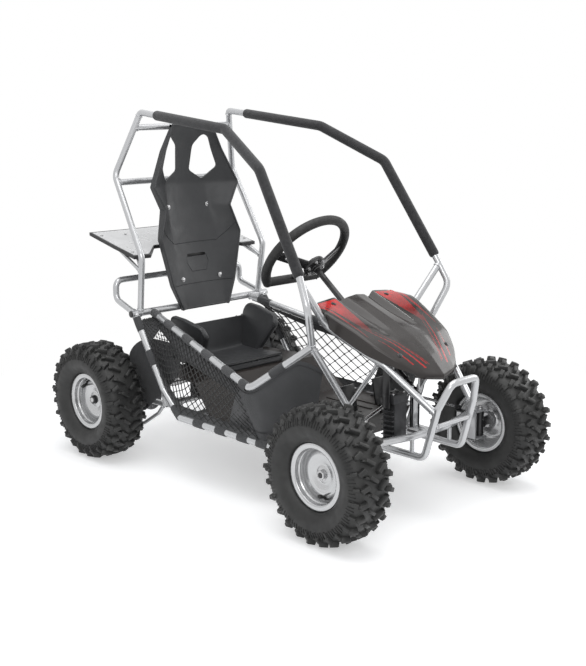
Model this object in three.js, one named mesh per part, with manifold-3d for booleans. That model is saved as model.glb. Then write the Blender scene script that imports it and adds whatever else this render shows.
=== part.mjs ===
// Off road go kart: a tube chassis with a roll cage, a bucket seat, four knobby tyres and an electric rear drive.
// Millimetres. +X points forward, +Y to the driver's left, +Z up. The origin is on the ground, midway between
// the axles, on the centre line.

import * as THREE from 'three';
import { mergeVertices } from 'three/addons/utils/BufferGeometryUtils.js';
import Module from 'manifold-3d';

const wasm = await Module();
wasm.setup();

// Driving dimensions

const wheelbase = 1030;
const track = 694;
const cageHeight = 1100;

const tyreDiameter = 374;
const tyreWidth = 136;
const treadWidth = 116;
const lugHeight = 13;
const tyreWall = 6;
const rimDiameter = 178;
const beadDiameter = 154;
const rimWidth = 90;
const rimWall = 3;
const hubBore = 16.8;
const hubDiameter = 44;
const hubLength = 26;

const cageTube = 20;
const chassisTube = 22;
const slimTube = 12;
const foamDiameter = 30;
const bendRadius = 45;
const clearance = 0.3;
const overrun = 40;

const hoodWall = 3;
const cowlThickness = 12;
const seatWall = 5;
const trayThickness = 3;
const netThickness = 3;
const panelThickness = 3;
const loopThickness = 2.6;
const loopLength = 40;
const netBorder = 14;

const steeringWheelDiameter = 308;
const steeringGrip = 28;
const wheelFlat = 112;
const wheelDish = 46;
const steeringHub = 70;
const spokeThickness = 7;
const columnDiameter = 18;
const columnReach = 560;
const pitmanSetback = 40;
const pitmanReach = columnReach - pitmanSetback;
const pitmanLength = 45;
const columnAngle = THREE.MathUtils.degToRad(38.2);

const kingpinOffset = 47;
const kingpinDiameter = 24;
const kingpinHeight = 76;
const knuckleArm = 70;
const stubDiameter = 16.2;
const nutDiameter = 30;
const nutThickness = 12;
const plateThickness = 6;

const axleDiameter = 25;
const bearingDiameter = 60;
const bearingWidth = 16;
const discDiameter = 150;
const discThickness = 4;
const sprocketDiameter = 124;
const pinionDiameter = 38;
const sprocketThickness = 5;
const chainHeight = 8;
const chainWidth = 10;
const motorDiameter = 100;
const motorLength = 100;
const motorShaft = 14;

const batteryLength = 150;
const batteryWidth = 300;
const batteryHeight = 86;
const controllerLength = 44;
const controllerWidth = 60;
const controllerHeight = 132;
const finDepth = 5;

const pedalWidth = 62;
const pedalHeight = 120;
const pedalThickness = 8;
const pedalPlace = 70;
const pedalPin = 10;

const seatRise = 7;
const seatStrapPlace = 76;
const seatStrapWidth = 20;
const seatStrapDrop = 100;
const seatStrapThickness = 4;
const panRear = -365;
const panLength = 215;
const panHeight = 163;
const panHalfWidth = 172;
const panFootWidth = 130;
const panInnerWidth = 108;
const panBase = 22;
const panBackHeight = 100;

const hoodHalfWidth = 184;
const cowlFront = -421;
const cowlLength = 250;
const cowlHalfWidth = 254;
const cowlHeight = 650;
const cowlRise = 54;

const beamDrop = 20;
const carrierThickness = 8;
const caliperLength = 30;
const caliperWidth = 40;
const caliperHeight = 50;
const rodSpread = 14;
const controllerForward = 524;
const controllerCentre = 292;
const batteryPlace = -220;
const pedalPivot = 345;

// Counts and shares

const wheelSegments = 16;
const roundSegments = 12;
const discSegments = 16;
const lugCount = 12;
const lugShare = 0.28;
const rootShare = 0.06;
const chainSteps = 14;
const netColumns = 12;
const netRows = 6;
const netHoleShare = 0.7;
const finCount = 5;
const spokeRake = THREE.MathUtils.degToRad(9);
const pedalLean = THREE.MathUtils.degToRad(12);
const postShare = 0.8;
const braceShare = 0.92;
const stayShare = 0.27;

const halfBase = wheelbase / 2;
const halfTrack = track / 2;
const tyreRadius = tyreDiameter / 2;
const axleHeight = tyreRadius;

// Shape helpers

function corner(xShare, yShare, zShare, side = 1) {
  return new THREE.Vector3(xShare * halfBase, side * yShare * halfTrack, zShare * cageHeight);
}

function corners(shares, side = 1) {
  return shares.map(([x, y, z]) => corner(x, y, z, side));
}

function bareCopy(geometry) {
  const bare = geometry.index ? geometry.toNonIndexed() : geometry.clone();
  for (const name of Object.keys(bare.attributes)) if (name !== 'position') bare.deleteAttribute(name);
  return bare;
}

function welded(geometry) {
  return mergeVertices(bareCopy(geometry), mergeGrain);
}

const mergeGrain = tyreDiameter / 1e6;

function toSolid(geometry) {
  const closed = welded(geometry);
  const vertProperties = new Float32Array(closed.attributes.position.array);
  const triVerts = new Uint32Array(closed.index.array);
  return new wasm.Manifold(new wasm.Mesh({ numProp: 3, vertProperties, triVerts }));
}

function toGeometry(solid) {
  const mesh = solid.getMesh();
  const stride = mesh.numProp;
  const count = mesh.vertProperties.length / stride;
  const places = new Float32Array(count * 3);
  for (let i = 0; i < count; i++) {
    for (let axis = 0; axis < 3; axis++) places[3 * i + axis] = mesh.vertProperties[stride * i + axis];
  }
  const geometry = new THREE.BufferGeometry();
  geometry.setAttribute('position', new THREE.BufferAttribute(places, 3));
  geometry.setIndex(new THREE.BufferAttribute(new Uint32Array(mesh.triVerts), 1));
  return geometry;
}

function joined(geometries) {
  return toGeometry(geometries.map(toSolid).reduce((whole, piece) => whole.add(piece)));
}

function cut(geometry, tools) {
  return toGeometry(tools.map(toSolid).reduce((left, tool) => left.subtract(tool), toSolid(geometry)));
}

// A tube's centre line: straight runs joined by round bends, with rings only where the tube turns.
class BentLine extends THREE.Curve {
  constructor(points, radius, ringsPerBend = 2) {
    super();
    this.places = [];
    this.headings = [];
    const last = points.length - 1;
    const heading = (from, to) => points[to].clone().sub(points[from]).normalize();
    this.addRing(points[0], heading(0, 1));
    for (let i = 1; i < last; i++) {
      const before = heading(i - 1, i);
      const after = heading(i, i + 1);
      const turn = before.angleTo(after);
      const room = Math.min(points[i].distanceTo(points[i - 1]), points[i].distanceTo(points[i + 1])) / 2.05;
      const setback = Math.min(radius * Math.tan(turn / 2), room);
      const start = points[i].clone().addScaledVector(before, -setback);
      const end = points[i].clone().addScaledVector(after, setback);
      const arc = new THREE.QuadraticBezierCurve3(start, points[i], end);
      for (let ring = 0; ring <= ringsPerBend; ring++) {
        const t = ring / ringsPerBend;
        this.addRing(arc.getPoint(t), arc.getTangent(t));
      }
    }
    this.addRing(points[last], heading(last - 1, last));
  }

  addRing(place, heading) {
    this.places.push(place.clone());
    this.headings.push(heading.clone().normalize());
  }

  get steps() {
    return this.places.length - 1;
  }

  getPoint(t, target = new THREE.Vector3()) {
    return target.copy(this.places[Math.round(t * this.steps)]);
  }

  getPointAt(t, target = new THREE.Vector3()) {
    return this.getPoint(t, target);
  }

  getTangentAt(t, target = new THREE.Vector3()) {
    return target.copy(this.headings[Math.round(t * this.steps)]);
  }
}

function circleShape(diameter, sides) {
  const shape = new THREE.Shape();
  for (let i = 0; i < sides; i++) {
    const angle = (2 * Math.PI * (i + 0.5)) / sides;
    const [x, y] = [(diameter / 2) * Math.cos(angle), (diameter / 2) * Math.sin(angle)];
    if (i === 0) shape.moveTo(x, y);
    else shape.lineTo(x, y);
  }
  shape.closePath();
  return shape;
}

const tubeSides = 8;

function tube(points, diameter, radius = bendRadius, sides = tubeSides) {
  const line = new BentLine(points, radius);
  const section = circleShape(diameter, sides);
  return new THREE.ExtrudeGeometry(section, { steps: line.steps, extrudePath: line, curveSegments: 1 });
}

function fatTube(points, diameter, radius = bendRadius, sides = tubeSides) {
  return tube(points, diameter + 2 * clearance, radius, sides);
}

// A closed solid between two grids of points that share their rows and columns.
function sheet(outer, inner) {
  const rows = outer.length;
  const columns = outer[0].length;
  const triangles = [];
  const quad = (a, b, c, d) => triangles.push(a, b, c, a, c, d);
  for (let i = 0; i + 1 < rows; i++) {
    for (let j = 0; j + 1 < columns; j++) {
      quad(outer[i][j], outer[i + 1][j], outer[i + 1][j + 1], outer[i][j + 1]);
      quad(inner[i][j], inner[i][j + 1], inner[i + 1][j + 1], inner[i + 1][j]);
    }
  }
  const rim = [];
  for (let j = 0; j < columns; j++) rim.push([0, j]);
  for (let i = 1; i < rows; i++) rim.push([i, columns - 1]);
  for (let j = columns - 2; j >= 0; j--) rim.push([rows - 1, j]);
  for (let i = rows - 2; i >= 1; i--) rim.push([i, 0]);
  rim.forEach(([i, j], at) => {
    const [k, l] = rim[(at + 1) % rim.length];
    quad(outer[i][j], outer[k][l], inner[k][l], inner[i][j]);
  });
  return outward(new THREE.BufferGeometry().setFromPoints(triangles));
}

// The same surface with its faces pointing out.
function outward(geometry) {
  const bare = bareCopy(geometry);
  return signedVolume(bare) > 0 ? bare : turned(bare);
}

function signedVolume(geometry) {
  const p = geometry.attributes.position;
  const [a, b, c] = [new THREE.Vector3(), new THREE.Vector3(), new THREE.Vector3()];
  let volume = 0;
  for (let i = 0; i < p.count; i += 3) {
    a.fromBufferAttribute(p, i);
    b.fromBufferAttribute(p, i + 1);
    c.fromBufferAttribute(p, i + 2);
    volume += a.dot(b.cross(c)) / 6;
  }
  return volume;
}

function turned(geometry) {
  const p = geometry.attributes.position;
  for (let i = 0; i < p.count; i += 3) {
    const [x, y, z] = [p.getX(i), p.getY(i), p.getZ(i)];
    p.setXYZ(i, p.getX(i + 1), p.getY(i + 1), p.getZ(i + 1));
    p.setXYZ(i + 1, x, y, z);
  }
  return geometry;
}

function box(low, high) {
  const size = high.clone().sub(low);
  const centre = low.clone().add(high).multiplyScalar(0.5);
  return new THREE.BoxGeometry(size.x, size.y, size.z).translate(centre.x, centre.y, centre.z);
}

function vector(x, y, z) {
  return new THREE.Vector3(x, y, z);
}

// A cylinder along Y from one width to another.
function crossCylinder(diameter, x, z, yFrom, yTo, sides = 16) {
  const length = yTo - yFrom;
  return new THREE.CylinderGeometry(diameter / 2, diameter / 2, length, sides)
    .rotateY(Math.PI / sides)
    .translate(x, yFrom + length / 2, z);
}

// An outline drawn in X and Z, given thickness along Y.
function sidePlate(outline, yFrom, yTo) {
  const shape = new THREE.Shape(outline.map(([x, z]) => new THREE.Vector2(x, z)));
  return new THREE.ExtrudeGeometry(shape, { depth: yTo - yFrom, bevelEnabled: false })
    .rotateX(Math.PI / 2)
    .translate(0, yTo, 0);
}

function between(a, b, share) {
  return a.clone().lerp(b, share);
}

// Frame lines. Each table gives points as shares of half the wheelbase, half the track and the cage height.

const hoopShares = [[-0.897, 0.522, 0.991], [-1.014, 0.703, 0.814], [-0.738, 0.732, 0.59], [-0.786, 0.718, 0.427]];
const roofShares = [
  [-0.897, 0.522, 0.991], [-0.083, 0.559, 0.951], [0.326, 0.732, 0.859],
  [0.682, 0.81, 0.608], [0.763, 0.847, 0.538], [0.697, 0.703, 0.4345],
];
const dashShares = [[0.6695, 0.5072, 0.4764], [1.005, 0.3804, 0.3963], [1.262, 0.228, 0.291]];
const railShares = [[-0.786, 0.589, 0.427], [0.369, 0.922, 0.3145], [0.697, 0.703, 0.4345]];
const strutShares = [[0.697, 0.703, 0.4345], [0.792, 0.447, 0.276], [0.768, 0.323, 0.171]];
const sideShares = [
  [-0.786, 0.778, 0.427], [-0.501, 0.798, 0.2255], [-0.291, 0.8645, 0.171],
  [0.476, 0.8645, 0.171], [0.583, 0.576, 0.171], [0.832, 0.236, 0.171],
];
const bumperShares = [[0.832, 0.236, 0.171], [1.198, 0.2305, 0.171], [1.278, 0.222, 0.3], [1.326, 0.15, 0.364]];
const bumperBarShares = [1.262, 0.219, 0.255];
const loopShares = [[-0.786, 0.778, 0.427], [-1, 0.755, 0.456], [-1, 0.755, 0.511]];
const beamShares = [[1.004, 0.798, 0.213], [1.117, 0.216, 0.2175]];
const crossbarShares = [-0.786, 0.821, 0.427];
const armShares = [[-0.501, 0.798, 0.2255], [-0.583, 0.686, 0.171], [-0.925, 0.686, 0.17]];
const guardShares = [
  [-0.6, 0.686, 0.171], [-0.662, 0.686, 0.138], [-0.82, 0.686, 0.092], [-1.06, 0.686, 0.098], [-1.08, 0.686, 0.15],
];
const floorBarShares = [[-0.272, 0.8645, 0.171], [0.35, 0.8645, 0.171]];
const dashBarShare = 0.6;
const topBarShare = 0.24;
const midBarShare = 0.09;
const seatFootShare = 0.4194;
const forkShare = 0.26;
const foamStartShare = 0.125;
const foamEndShare = 0.985;

const hoopLine = (side) => corners(hoopShares, side);
const roofLine = (side) => corners(roofShares, side);
const railLine = (side) => corners(railShares, side);
const strutLine = (side) => corners(strutShares, side);
const sideLine = (side) => corners(sideShares, side);
const dashLine = (side) => {
  const [next, front, end] = corners(dashShares, side);
  const fork = between(roofLine(side)[3], roofLine(side)[4], forkShare);
  const heading = next.clone().sub(fork).normalize();
  return [fork.addScaledVector(heading, cageTube / 4), next, front, end];
};
const bumperLine = [...corners(bumperShares, -1), ...corners(bumperShares, 1).reverse()];
const loopLine = [...corners(loopShares, -1), ...corners(loopShares, 1).reverse()];
const beamLine = [...corners(beamShares, -1), ...corners(beamShares, 1).reverse()];
const crossbarLine = [-1, 1].map((side) => corner(...crossbarShares, side));

const straight = (place) => [place(-1), place(1)];
const topBarLine = straight((side) => between(hoopLine(side)[0], hoopLine(side)[1], topBarShare));
const midBarLine = straight((side) => between(hoopLine(side)[1], hoopLine(side)[2], midBarShare));
const dashBarLine = straight((side) => between(dashLine(side)[1], dashLine(side)[2], dashBarShare));

// The point on the right dash tube that the controller's strap hangs from, and the controller's own centre.
const [dashBend, dashFoot] = dashLine(-1).slice(2);
const controllerHang = between(dashBend, dashFoot, (controllerForward - dashBend.x) / (dashFoot.x - dashBend.x));
const controllerPlace = vector(
  controllerForward,
  controllerHang.y + seatStrapThickness / 2 + clearance + controllerWidth / 2,
  controllerCentre,
);

const smallBend = bendRadius * 0.6;

// Seat back: a shell whose wings fold forward, with two shoulder openings.

const topBarX = topBarLine[0].x;
const topBarZ = topBarLine[0].z;
const seatFront = topBarX + cageTube / 2 + clearance + seatWall;
const seatTop = topBarZ + seatRise;
const seatHeight = seatTop - seatFootShare * cageHeight;
// Each row: height, centre forward of the top, wing forward of the centre, half width of the crease and of the wing.
const seatRowShares = [
  [0, 0.14, 0.004, 0.136, 0.161],
  [0.136, 0.1115, 0.02, 0.149, 0.219],
  [0.397, 0.045, 0.071, 0.156, 0.28],
  [0.55, -0.003, 0.097, 0.148, 0.226],
  [0.674, -0.034, 0.12, 0.136, 0.295],
  [0.86, -0.022, 0.076, 0.105, 0.204],
  [0.985, 0, 0.06, 0.093, 0.139],
  [1, 0, 0.06, 0.093, 0.139],
];
const seatHoleShares = [[0.98, 0.105], [0.885, 0.062], [0.79, 0.062], [0.705, 0.13], [0.79, 0.2], [0.9, 0.155]];

function seatRow([up, forward, wing, crease, edge]) {
  const z = seatTop - seatHeight + up * seatHeight;
  const x = seatFront + forward * seatHeight;
  const place = (ahead, y) => vector(x + ahead * seatHeight, y * seatHeight, z);
  return [place(wing, -edge), place(0, -crease), place(0, crease), place(wing, edge)];
}

function seatRearAt(z) {
  const rows = seatRowShares.map((row) => seatRow(row)[1]);
  const upper = rows.findIndex((place) => place.z >= z);
  const [below, above] = [rows[upper - 1], rows[upper]];
  const share = (z - below.z) / (above.z - below.z);
  return below.x + share * (above.x - below.x) - seatWall;
}

function seatBack() {
  const front = seatRowShares.map(seatRow);
  const rear = front.map((row) => row.map((place) => place.clone().setX(place.x - seatWall)));
  const shell = sheet(front, rear);
  const openings = [-1, 1].map((side) => {
    const shape = new THREE.Shape(
      seatHoleShares.map(([up, out]) => new THREE.Vector2(side * out * seatHeight, (up - 1) * seatHeight)),
    );
    return new THREE.ExtrudeGeometry(shape, { depth: 4 * overrun, bevelEnabled: false })
      .rotateX(Math.PI / 2)
      .rotateZ(Math.PI / 2)
      .translate(seatFront - 2 * overrun, 0, seatTop);
  });
  return cut(shell, openings);
}

// Straps that carry the seat back from the middle bar and from the rear loop.
function seatStraps(side) {
  const mid = midBarLine[0];
  const low = loopLine[2];
  const inner = side * seatStrapPlace - seatStrapWidth / 2;
  const lean = (z) => [seatRearAt(z) - clearance, z];
  const behind = ([x, z]) => [x - seatStrapThickness, z];
  const end = mid.z - seatStrapDrop;
  const bends = seatRowShares.map((row) => seatRow(row)[1].z).filter((z) => z < mid.z && z > end).reverse();
  const edge = [mid.z, ...bends, end].map(lean);
  const upper = sidePlate([[mid.x, mid.z], ...edge, behind(edge.at(-1))], inner, inner + seatStrapWidth);
  const [face, foot] = [low.z, low.z - seatStrapWidth].map(lean);
  const thick = seatStrapThickness;
  const outline = [[low.x, low.z - thick], behind([face[0], low.z - thick]), behind(foot), foot, face, [low.x, low.z]];
  const lower = sidePlate(outline, inner, inner + seatStrapWidth);
  return { upper, lower };
}

// Roll cage

function mainHoop() {
  const uprights = [-1, 1].map((side) => tube(hoopLine(side), cageTube));
  const bars = [topBarLine, midBarLine].map((line) => tube(line, cageTube));
  const straps = [-1, 1].map((side) => seatStraps(side).upper);
  const stays = [-1, 1].flatMap(stayLines).map((line) => tube(line, slimTube, 0, 6));
  const whole = joined([...uprights, ...bars, ...straps, ...stays]);
  return cut(whole, [fatTube(crossbarLine, chassisTube), cowlRoom()]);
}

function rearLoop() {
  const straps = [-1, 1].map((side) => seatStraps(side).lower);
  const whole = joined([tube(loopLine, cageTube, smallBend), ...straps]);
  return cut(whole, [fatTube(crossbarLine, chassisTube), ...[-1, 1].map((side) => fatTube(hoopLine(side), cageTube))]);
}

function roofBar(side) {
  const whole = tube(roofLine(side), cageTube);
  return cut(whole, [fatTube(hoopLine(side), cageTube)]);
}

// The part of a line between two shares of its length.
function stretch(line, from, to) {
  const path = new THREE.CurvePath();
  for (let i = 0; i + 1 < line.length; i++) path.add(new THREE.LineCurve3(line[i], line[i + 1]));
  const total = path.getLength();
  const lengths = path.getCurveLengths();
  const inside = line.slice(1, -1).filter((_, i) => lengths[i] > from * total && lengths[i] < to * total);
  return [path.getPoint(from), ...inside, path.getPoint(to)];
}

function foamLine(side) {
  return stretch(roofLine(side).slice(0, 4), foamStartShare, foamEndShare);
}

function foamSleeve(side) {
  return cut(tube(foamLine(side), foamDiameter), [fatTube(roofLine(side), cageTube)]);
}

function dashFrame() {
  const tubes = [-1, 1].map((side) => tube(dashLine(side), cageTube));
  const bar = tube(dashBarLine, cageTube);
  const centre = between(...dashBarLine, 0.5);
  const drop = centre.z - columnPoint((centre.x - columnTop.x) / columnHeading.x).z + columnDiameter;
  const hanger = box(
    vector(centre.x - plateThickness / 2, -columnDiameter, centre.z - drop),
    vector(centre.x + plateThickness / 2, columnDiameter, centre.z),
  );
  const whole = joined([...tubes, bar, hanger, ...controllerBracket()]);
  return cut(whole, [
    fatTube(roofLine(-1), cageTube), fatTube(roofLine(1), cageTube), fatTube(bumperLine, cageTube, smallBend),
    columnWay(),
  ]);
}

// Chassis

function frontStrut(side) {
  const line = strutLine(side);
  const brace = [between(dashLine(side)[1], dashLine(side)[2], braceShare), line[1]];
  const whole = joined([tube(line, cageTube), tube(brace, slimTube, 0, 6)]);
  return cut(whole, [
    fatTube(railLine(side), chassisTube), fatTube(roofLine(side), cageTube),
    fatTube(dashLine(side), cageTube), fatTube(sideLine(side), chassisTube, smallBend),
  ]);
}

function sideRail(side) {
  return cut(tube(railLine(side), chassisTube), [
    fatTube(crossbarLine, chassisTube), fatTube(roofLine(side), cageTube), fatTube(hoopLine(side), cageTube),
  ]);
}

function sideFrame(side) {
  const tools = [fatTube(crossbarLine, chassisTube), fatTube(bumperLine, cageTube, smallBend)];
  return cut(tube(sideLine(side), chassisTube, smallBend), tools);
}

function floorBarLine(shares) {
  return [-1, 1].map((side) => corner(...shares, side));
}

function floorBar(shares) {
  const tools = [-1, 1].map((side) => fatTube(sideLine(side), chassisTube, smallBend));
  return cut(tube(floorBarLine(shares), chassisTube), tools);
}

function bumper() {
  const bar = [-1, 1].map((side) => corner(...bumperBarShares, side));
  return joined([tube(bumperLine, cageTube, smallBend), tube(bar, slimTube, 0, 6)]);
}

function frontBeam() {
  const yokes = [-1, 1].map(yoke);
  const posts = [-1, 1].map((side) => {
    const foot = between(bumperLine[0], bumperLine[1], postShare);
    const place = beamLine[1];
    const y = side * Math.abs(foot.y);
    return new THREE.CylinderGeometry(slimTube / 2, slimTube / 2, place.z - foot.z, 8)
      .rotateX(Math.PI / 2)
      .translate(place.x, y, (place.z + foot.z) / 2);
  });
  const stop = columnPoint(columnReach - bearingWidth);
  const centre = beamLine[1];
  const upright = box(
    vector(stop.x - plateThickness / 2, -columnDiameter, centre.z),
    vector(stop.x + plateThickness / 2, columnDiameter, stop.z + columnDiameter),
  );
  const [near, far] = [stop.x, centre.x].sort((a, b) => a - b);
  const foot = box(
    vector(near - plateThickness / 2, -columnDiameter, centre.z - plateThickness / 2),
    vector(far + plateThickness / 2, columnDiameter, centre.z + plateThickness / 2),
  );
  const whole = joined([tube(beamLine, cageTube), ...yokes, ...posts, upright, foot]);
  return cut(whole, [
    fatTube(bumperLine, cageTube, smallBend),
    columnWay(),
  ]);
}

// A fork that holds the kingpin barrel from above and below.
function yoke(side) {
  const y = halfTrack - kingpinOffset;
  const halfHeight = kingpinHeight / 2 + clearance;
  const halfDepth = kingpinDiameter * 0.75;
  const inner = y - 1.85 * kingpinDiameter;
  const outer = y + kingpinDiameter / 2;
  const slab = (from, to, low, high) => {
    const ends = [side * from, side * to].sort((a, b) => a - b);
    return box(vector(halfBase - halfDepth, ends[0], low), vector(halfBase + halfDepth, ends[1], high));
  };
  const top = axleHeight + halfHeight;
  const bottom = axleHeight - halfHeight;
  const web = slab(inner, inner + plateThickness, bottom - plateThickness, top + beamDrop);
  return joined([
    web,
    slab(inner, outer, top, top + plateThickness),
    slab(inner, outer, bottom - plateThickness, bottom),
  ]);
}

function rearSubframe() {
  const pieces = [];
  for (const side of [-1, 1]) {
    pieces.push(tube(corners(armShares, side), cageTube, smallBend));
    pieces.push(tube(corners(guardShares, side), slimTube, smallBend, 6));
    pieces.push(axleCarrier(side));
  }
  const crossPlace = corners(armShares, 1)[1];
  pieces.push(tube([vector(crossPlace.x, -crossPlace.y, crossPlace.z), crossPlace], cageTube));
  const cradleTop = motorCentre.z - motorDiameter / 2 - clearance;
  pieces.push(box(
    vector(motorCentre.x - motorDiameter * 0.45, motorInner + motorLength * 0.1, cradleTop - plateThickness),
    vector(crossPlace.x, motorInner + motorLength * 0.9, cradleTop),
  ));
  pieces.push(box(
    vector(crossPlace.x - plateThickness, motorInner + motorLength * 0.1, cradleTop - plateThickness),
    vector(crossPlace.x, motorInner + motorLength * 0.9, crossPlace.z),
  ));
  pieces.push(caliperBracket());
  const whole = joined(pieces);
  const bearings = [-1, 1].map((side) => {
    const y = side * bearingPlace;
    const room = bearingDiameter + 2 * clearance;
    return crossCylinder(room, -halfBase, axleHeight, y - overrun, y + overrun, roundSegments);
  });
  return cut(whole, [...bearings, ...[-1, 1].map((side) => fatTube(sideLine(side), chassisTube, smallBend))]);
}

const bearingPlace = corners(armShares, 1)[2].y;

function axleCarrier(side) {
  const rear = corners(guardShares, 1).at(-1).x - slimTube / 2;
  const front = corners(armShares, 1)[2].x;
  const half = bearingDiameter / 2 + plateThickness * 1.5;
  const y = side * bearingPlace;
  return box(
    vector(rear, y - carrierThickness / 2, axleHeight - half),
    vector(front + chassisTube, y + carrierThickness / 2, axleHeight + half),
  );
}

function caliperBracket() {
  const arm = corners(armShares, -1)[2];
  const x = arm.x + caliperLength;
  return box(
    vector(x, arm.y, axleHeight - plateThickness / 2),
    vector(x + caliperLength / 2, discPlace - caliperWidth / 2 - clearance, axleHeight + caliperHeight / 2),
  );
}

// Rear drive

const discPlace = -150;
const sprocketPlace = 130;
const motorCentre = vector(corner(-0.757, 0, 0.1955).x, 0, corner(-0.757, 0, 0.1955).z);
const motorInner = sprocketPlace - chainWidth - motorLength;

function rearAxle() {
  const hub = halfTrack - hubLength / 2 - clearance;
  const outer = hub + hubLength + 2 * clearance;
  const profile = [
    [0, -outer - nutThickness], [nutDiameter / 2, -outer - nutThickness],
    [nutDiameter / 2, -outer], [stubDiameter / 2, -outer],
    [stubDiameter / 2, -hub], [axleDiameter / 2, -hub],
  ];
  const mirrored = profile.map(([r, a]) => [r, -a]).reverse();
  return turnedPiece([...profile, ...mirrored], roundSegments).translate(-halfBase, 0, axleHeight);
}

// The diameter of a bore with flat sides that clears a shaft turning in it.
function boreAround(diameter, segments) {
  return diameter / Math.cos(Math.PI / segments);
}

// A profile of radius and place along Y, turned about Y.
function turnedPiece(profile, segments) {
  const points = profile.map(([r, a]) => new THREE.Vector2(r, a));
  return outward(new THREE.LatheGeometry(points, segments).rotateY(Math.PI / segments));
}

function ringProfile(inner, outer, low, high) {
  return [[inner, low], [outer, low], [outer, high], [inner, high], [inner, low]];
}

function axleBearing(side) {
  const y = side * bearingPlace;
  const [inner, outer] = [boreAround(axleDiameter, roundSegments) / 2 + clearance, bearingDiameter / 2];
  const profile = ringProfile(inner, outer, -bearingWidth / 2, bearingWidth / 2);
  return turnedPiece(profile, roundSegments).translate(-halfBase, y, axleHeight);
}

function axleDisc(diameter, thickness, y) {
  const bore = axleDiameter / 2 + clearance;
  const [hub, half, reach] = [bore * 1.7, thickness / 2, thickness * 2];
  const profile = [
    [bore, -reach], [hub, -reach], [hub, -half], [diameter / 2, -half],
    [diameter / 2, half], [hub, half], [hub, reach], [bore, reach], [bore, -reach],
  ];
  return turnedPiece(profile, discSegments).translate(-halfBase, y, axleHeight);
}

function pinion() {
  const bore = motorShaft / 2 + clearance;
  const profile = ringProfile(bore, pinionDiameter / 2, -sprocketThickness / 2, sprocketThickness / 2);
  return turnedPiece(profile, roundSegments).translate(motorCentre.x, sprocketPlace, motorCentre.z);
}

function driveMotor() {
  const end = sprocketPlace + sprocketThickness;
  const outer = motorInner + motorLength;
  const can = motorDiameter / 2;
  const profile = [
    [0, motorInner], [can * 0.8, motorInner], [can, motorInner + can * 0.2], [can, outer - can * 0.2],
    [can * 0.8, outer], [motorShaft / 2, outer], [motorShaft / 2, end], [0, end],
  ];
  return turnedPiece(profile, roundSegments).translate(motorCentre.x, 0, motorCentre.z);
}

// The chain's loop: two arcs round the sprockets, joined by straight runs.
function chainLoop(extra) {
  const large = sprocketDiameter / 2 + extra;
  const small = pinionDiameter / 2 + extra;
  const reach = Math.hypot(motorCentre.x + halfBase, motorCentre.z - axleHeight);
  const tilt = Math.atan2(motorCentre.z - axleHeight, motorCentre.x + halfBase);
  const wrap = Math.acos((large - small) / reach);
  const points = [];
  for (let i = 0; i <= chainSteps; i++) {
    const angle = tilt + wrap + (2 * (Math.PI - wrap) * i) / chainSteps;
    points.push([-halfBase + large * Math.cos(angle), axleHeight + large * Math.sin(angle)]);
  }
  for (let i = 0; i <= chainSteps / 2; i++) {
    const angle = tilt - wrap + (4 * wrap * i) / chainSteps;
    points.push([motorCentre.x + small * Math.cos(angle), motorCentre.z + small * Math.sin(angle)]);
  }
  return points;
}

function driveChain() {
  const slack = sprocketDiameter * 0.004 + clearance;
  const [from, to] = [sprocketPlace - chainWidth / 2, sprocketPlace + chainWidth / 2];
  const outer = sidePlate(chainLoop(slack + chainHeight), from, to);
  return cut(outer, [sidePlate(chainLoop(slack), from - overrun, to + overrun)]);
}

function brakeCaliper() {
  const x = corners(armShares, -1)[2].x + caliperLength;
  const body = box(
    vector(x - caliperLength, discPlace - caliperWidth / 2, axleHeight + clearance),
    vector(x - clearance + caliperLength / 2, discPlace + caliperWidth / 2, axleHeight + caliperHeight),
  );
  const room = boreAround(discDiameter, discSegments) + 4 * clearance;
  const slot = axleDisc(room, discThickness + 4 * clearance, discPlace);
  return cut(body, [slot]);
}

// Wheels. Places along the axle are counted outwards from the wheel's middle plane.

function rim(x, side) {
  const bore = hubBore / 2;
  const hub = hubDiameter / 2;
  const [half, wall] = [rimWidth / 2, rimWall];
  const lip = rimDiameter / 2;
  const bead = beadDiameter / 2;
  const dish = bead - 2 * wall;
  const face = hubLength / 2;
  const profile = [
    [bore, -face], [hub, -face], [hub, face - 2 * wall], [dish * 0.78, face + wall], [dish, wall],
    [dish + wall, -half], [lip, -half], [bead, -half + 2 * wall],
    [bead, half - 2 * wall], [lip, half], [dish + wall, half],
    [dish, 2 * wall], [dish * 0.8, face + 2 * wall], [hub, face], [bore, face], [bore, -face],
  ];
  return turnedPiece(profile.map(([r, a]) => [r, side * a]), wheelSegments).translate(x, side * halfTrack, axleHeight);
}

// One row of tread lugs, as a toothed ring round the carcass.
function toothedBand(low, high, phase) {
  const outline = [];
  const pitch = (2 * Math.PI) / lugCount;
  const tip = tyreRadius / Math.cos(pitch * Math.abs(phase - lugShare));
  const root = tyreRadius - lugHeight;
  for (let i = 0; i < lugCount; i++) {
    const middle = (i + phase) * pitch - Math.PI / 2;
    const places = [[-lugShare - rootShare, root], [-lugShare, tip], [lugShare, tip], [lugShare + rootShare, root]];
    for (const [turn, radius] of places) {
      const angle = middle + turn * pitch;
      outline.push([radius * Math.cos(angle), radius * Math.sin(angle)]);
    }
  }
  const hole = circleShape(2 * (root - tyreWall / 2), wheelSegments).getPoints();
  const shape = new THREE.Shape(outline.map(([x, z]) => new THREE.Vector2(x, z)));
  shape.holes.push(new THREE.Path(hole));
  return new THREE.ExtrudeGeometry(shape, { depth: high - low, bevelEnabled: false })
    .rotateX(Math.PI / 2)
    .translate(0, high, 0);
}

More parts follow.
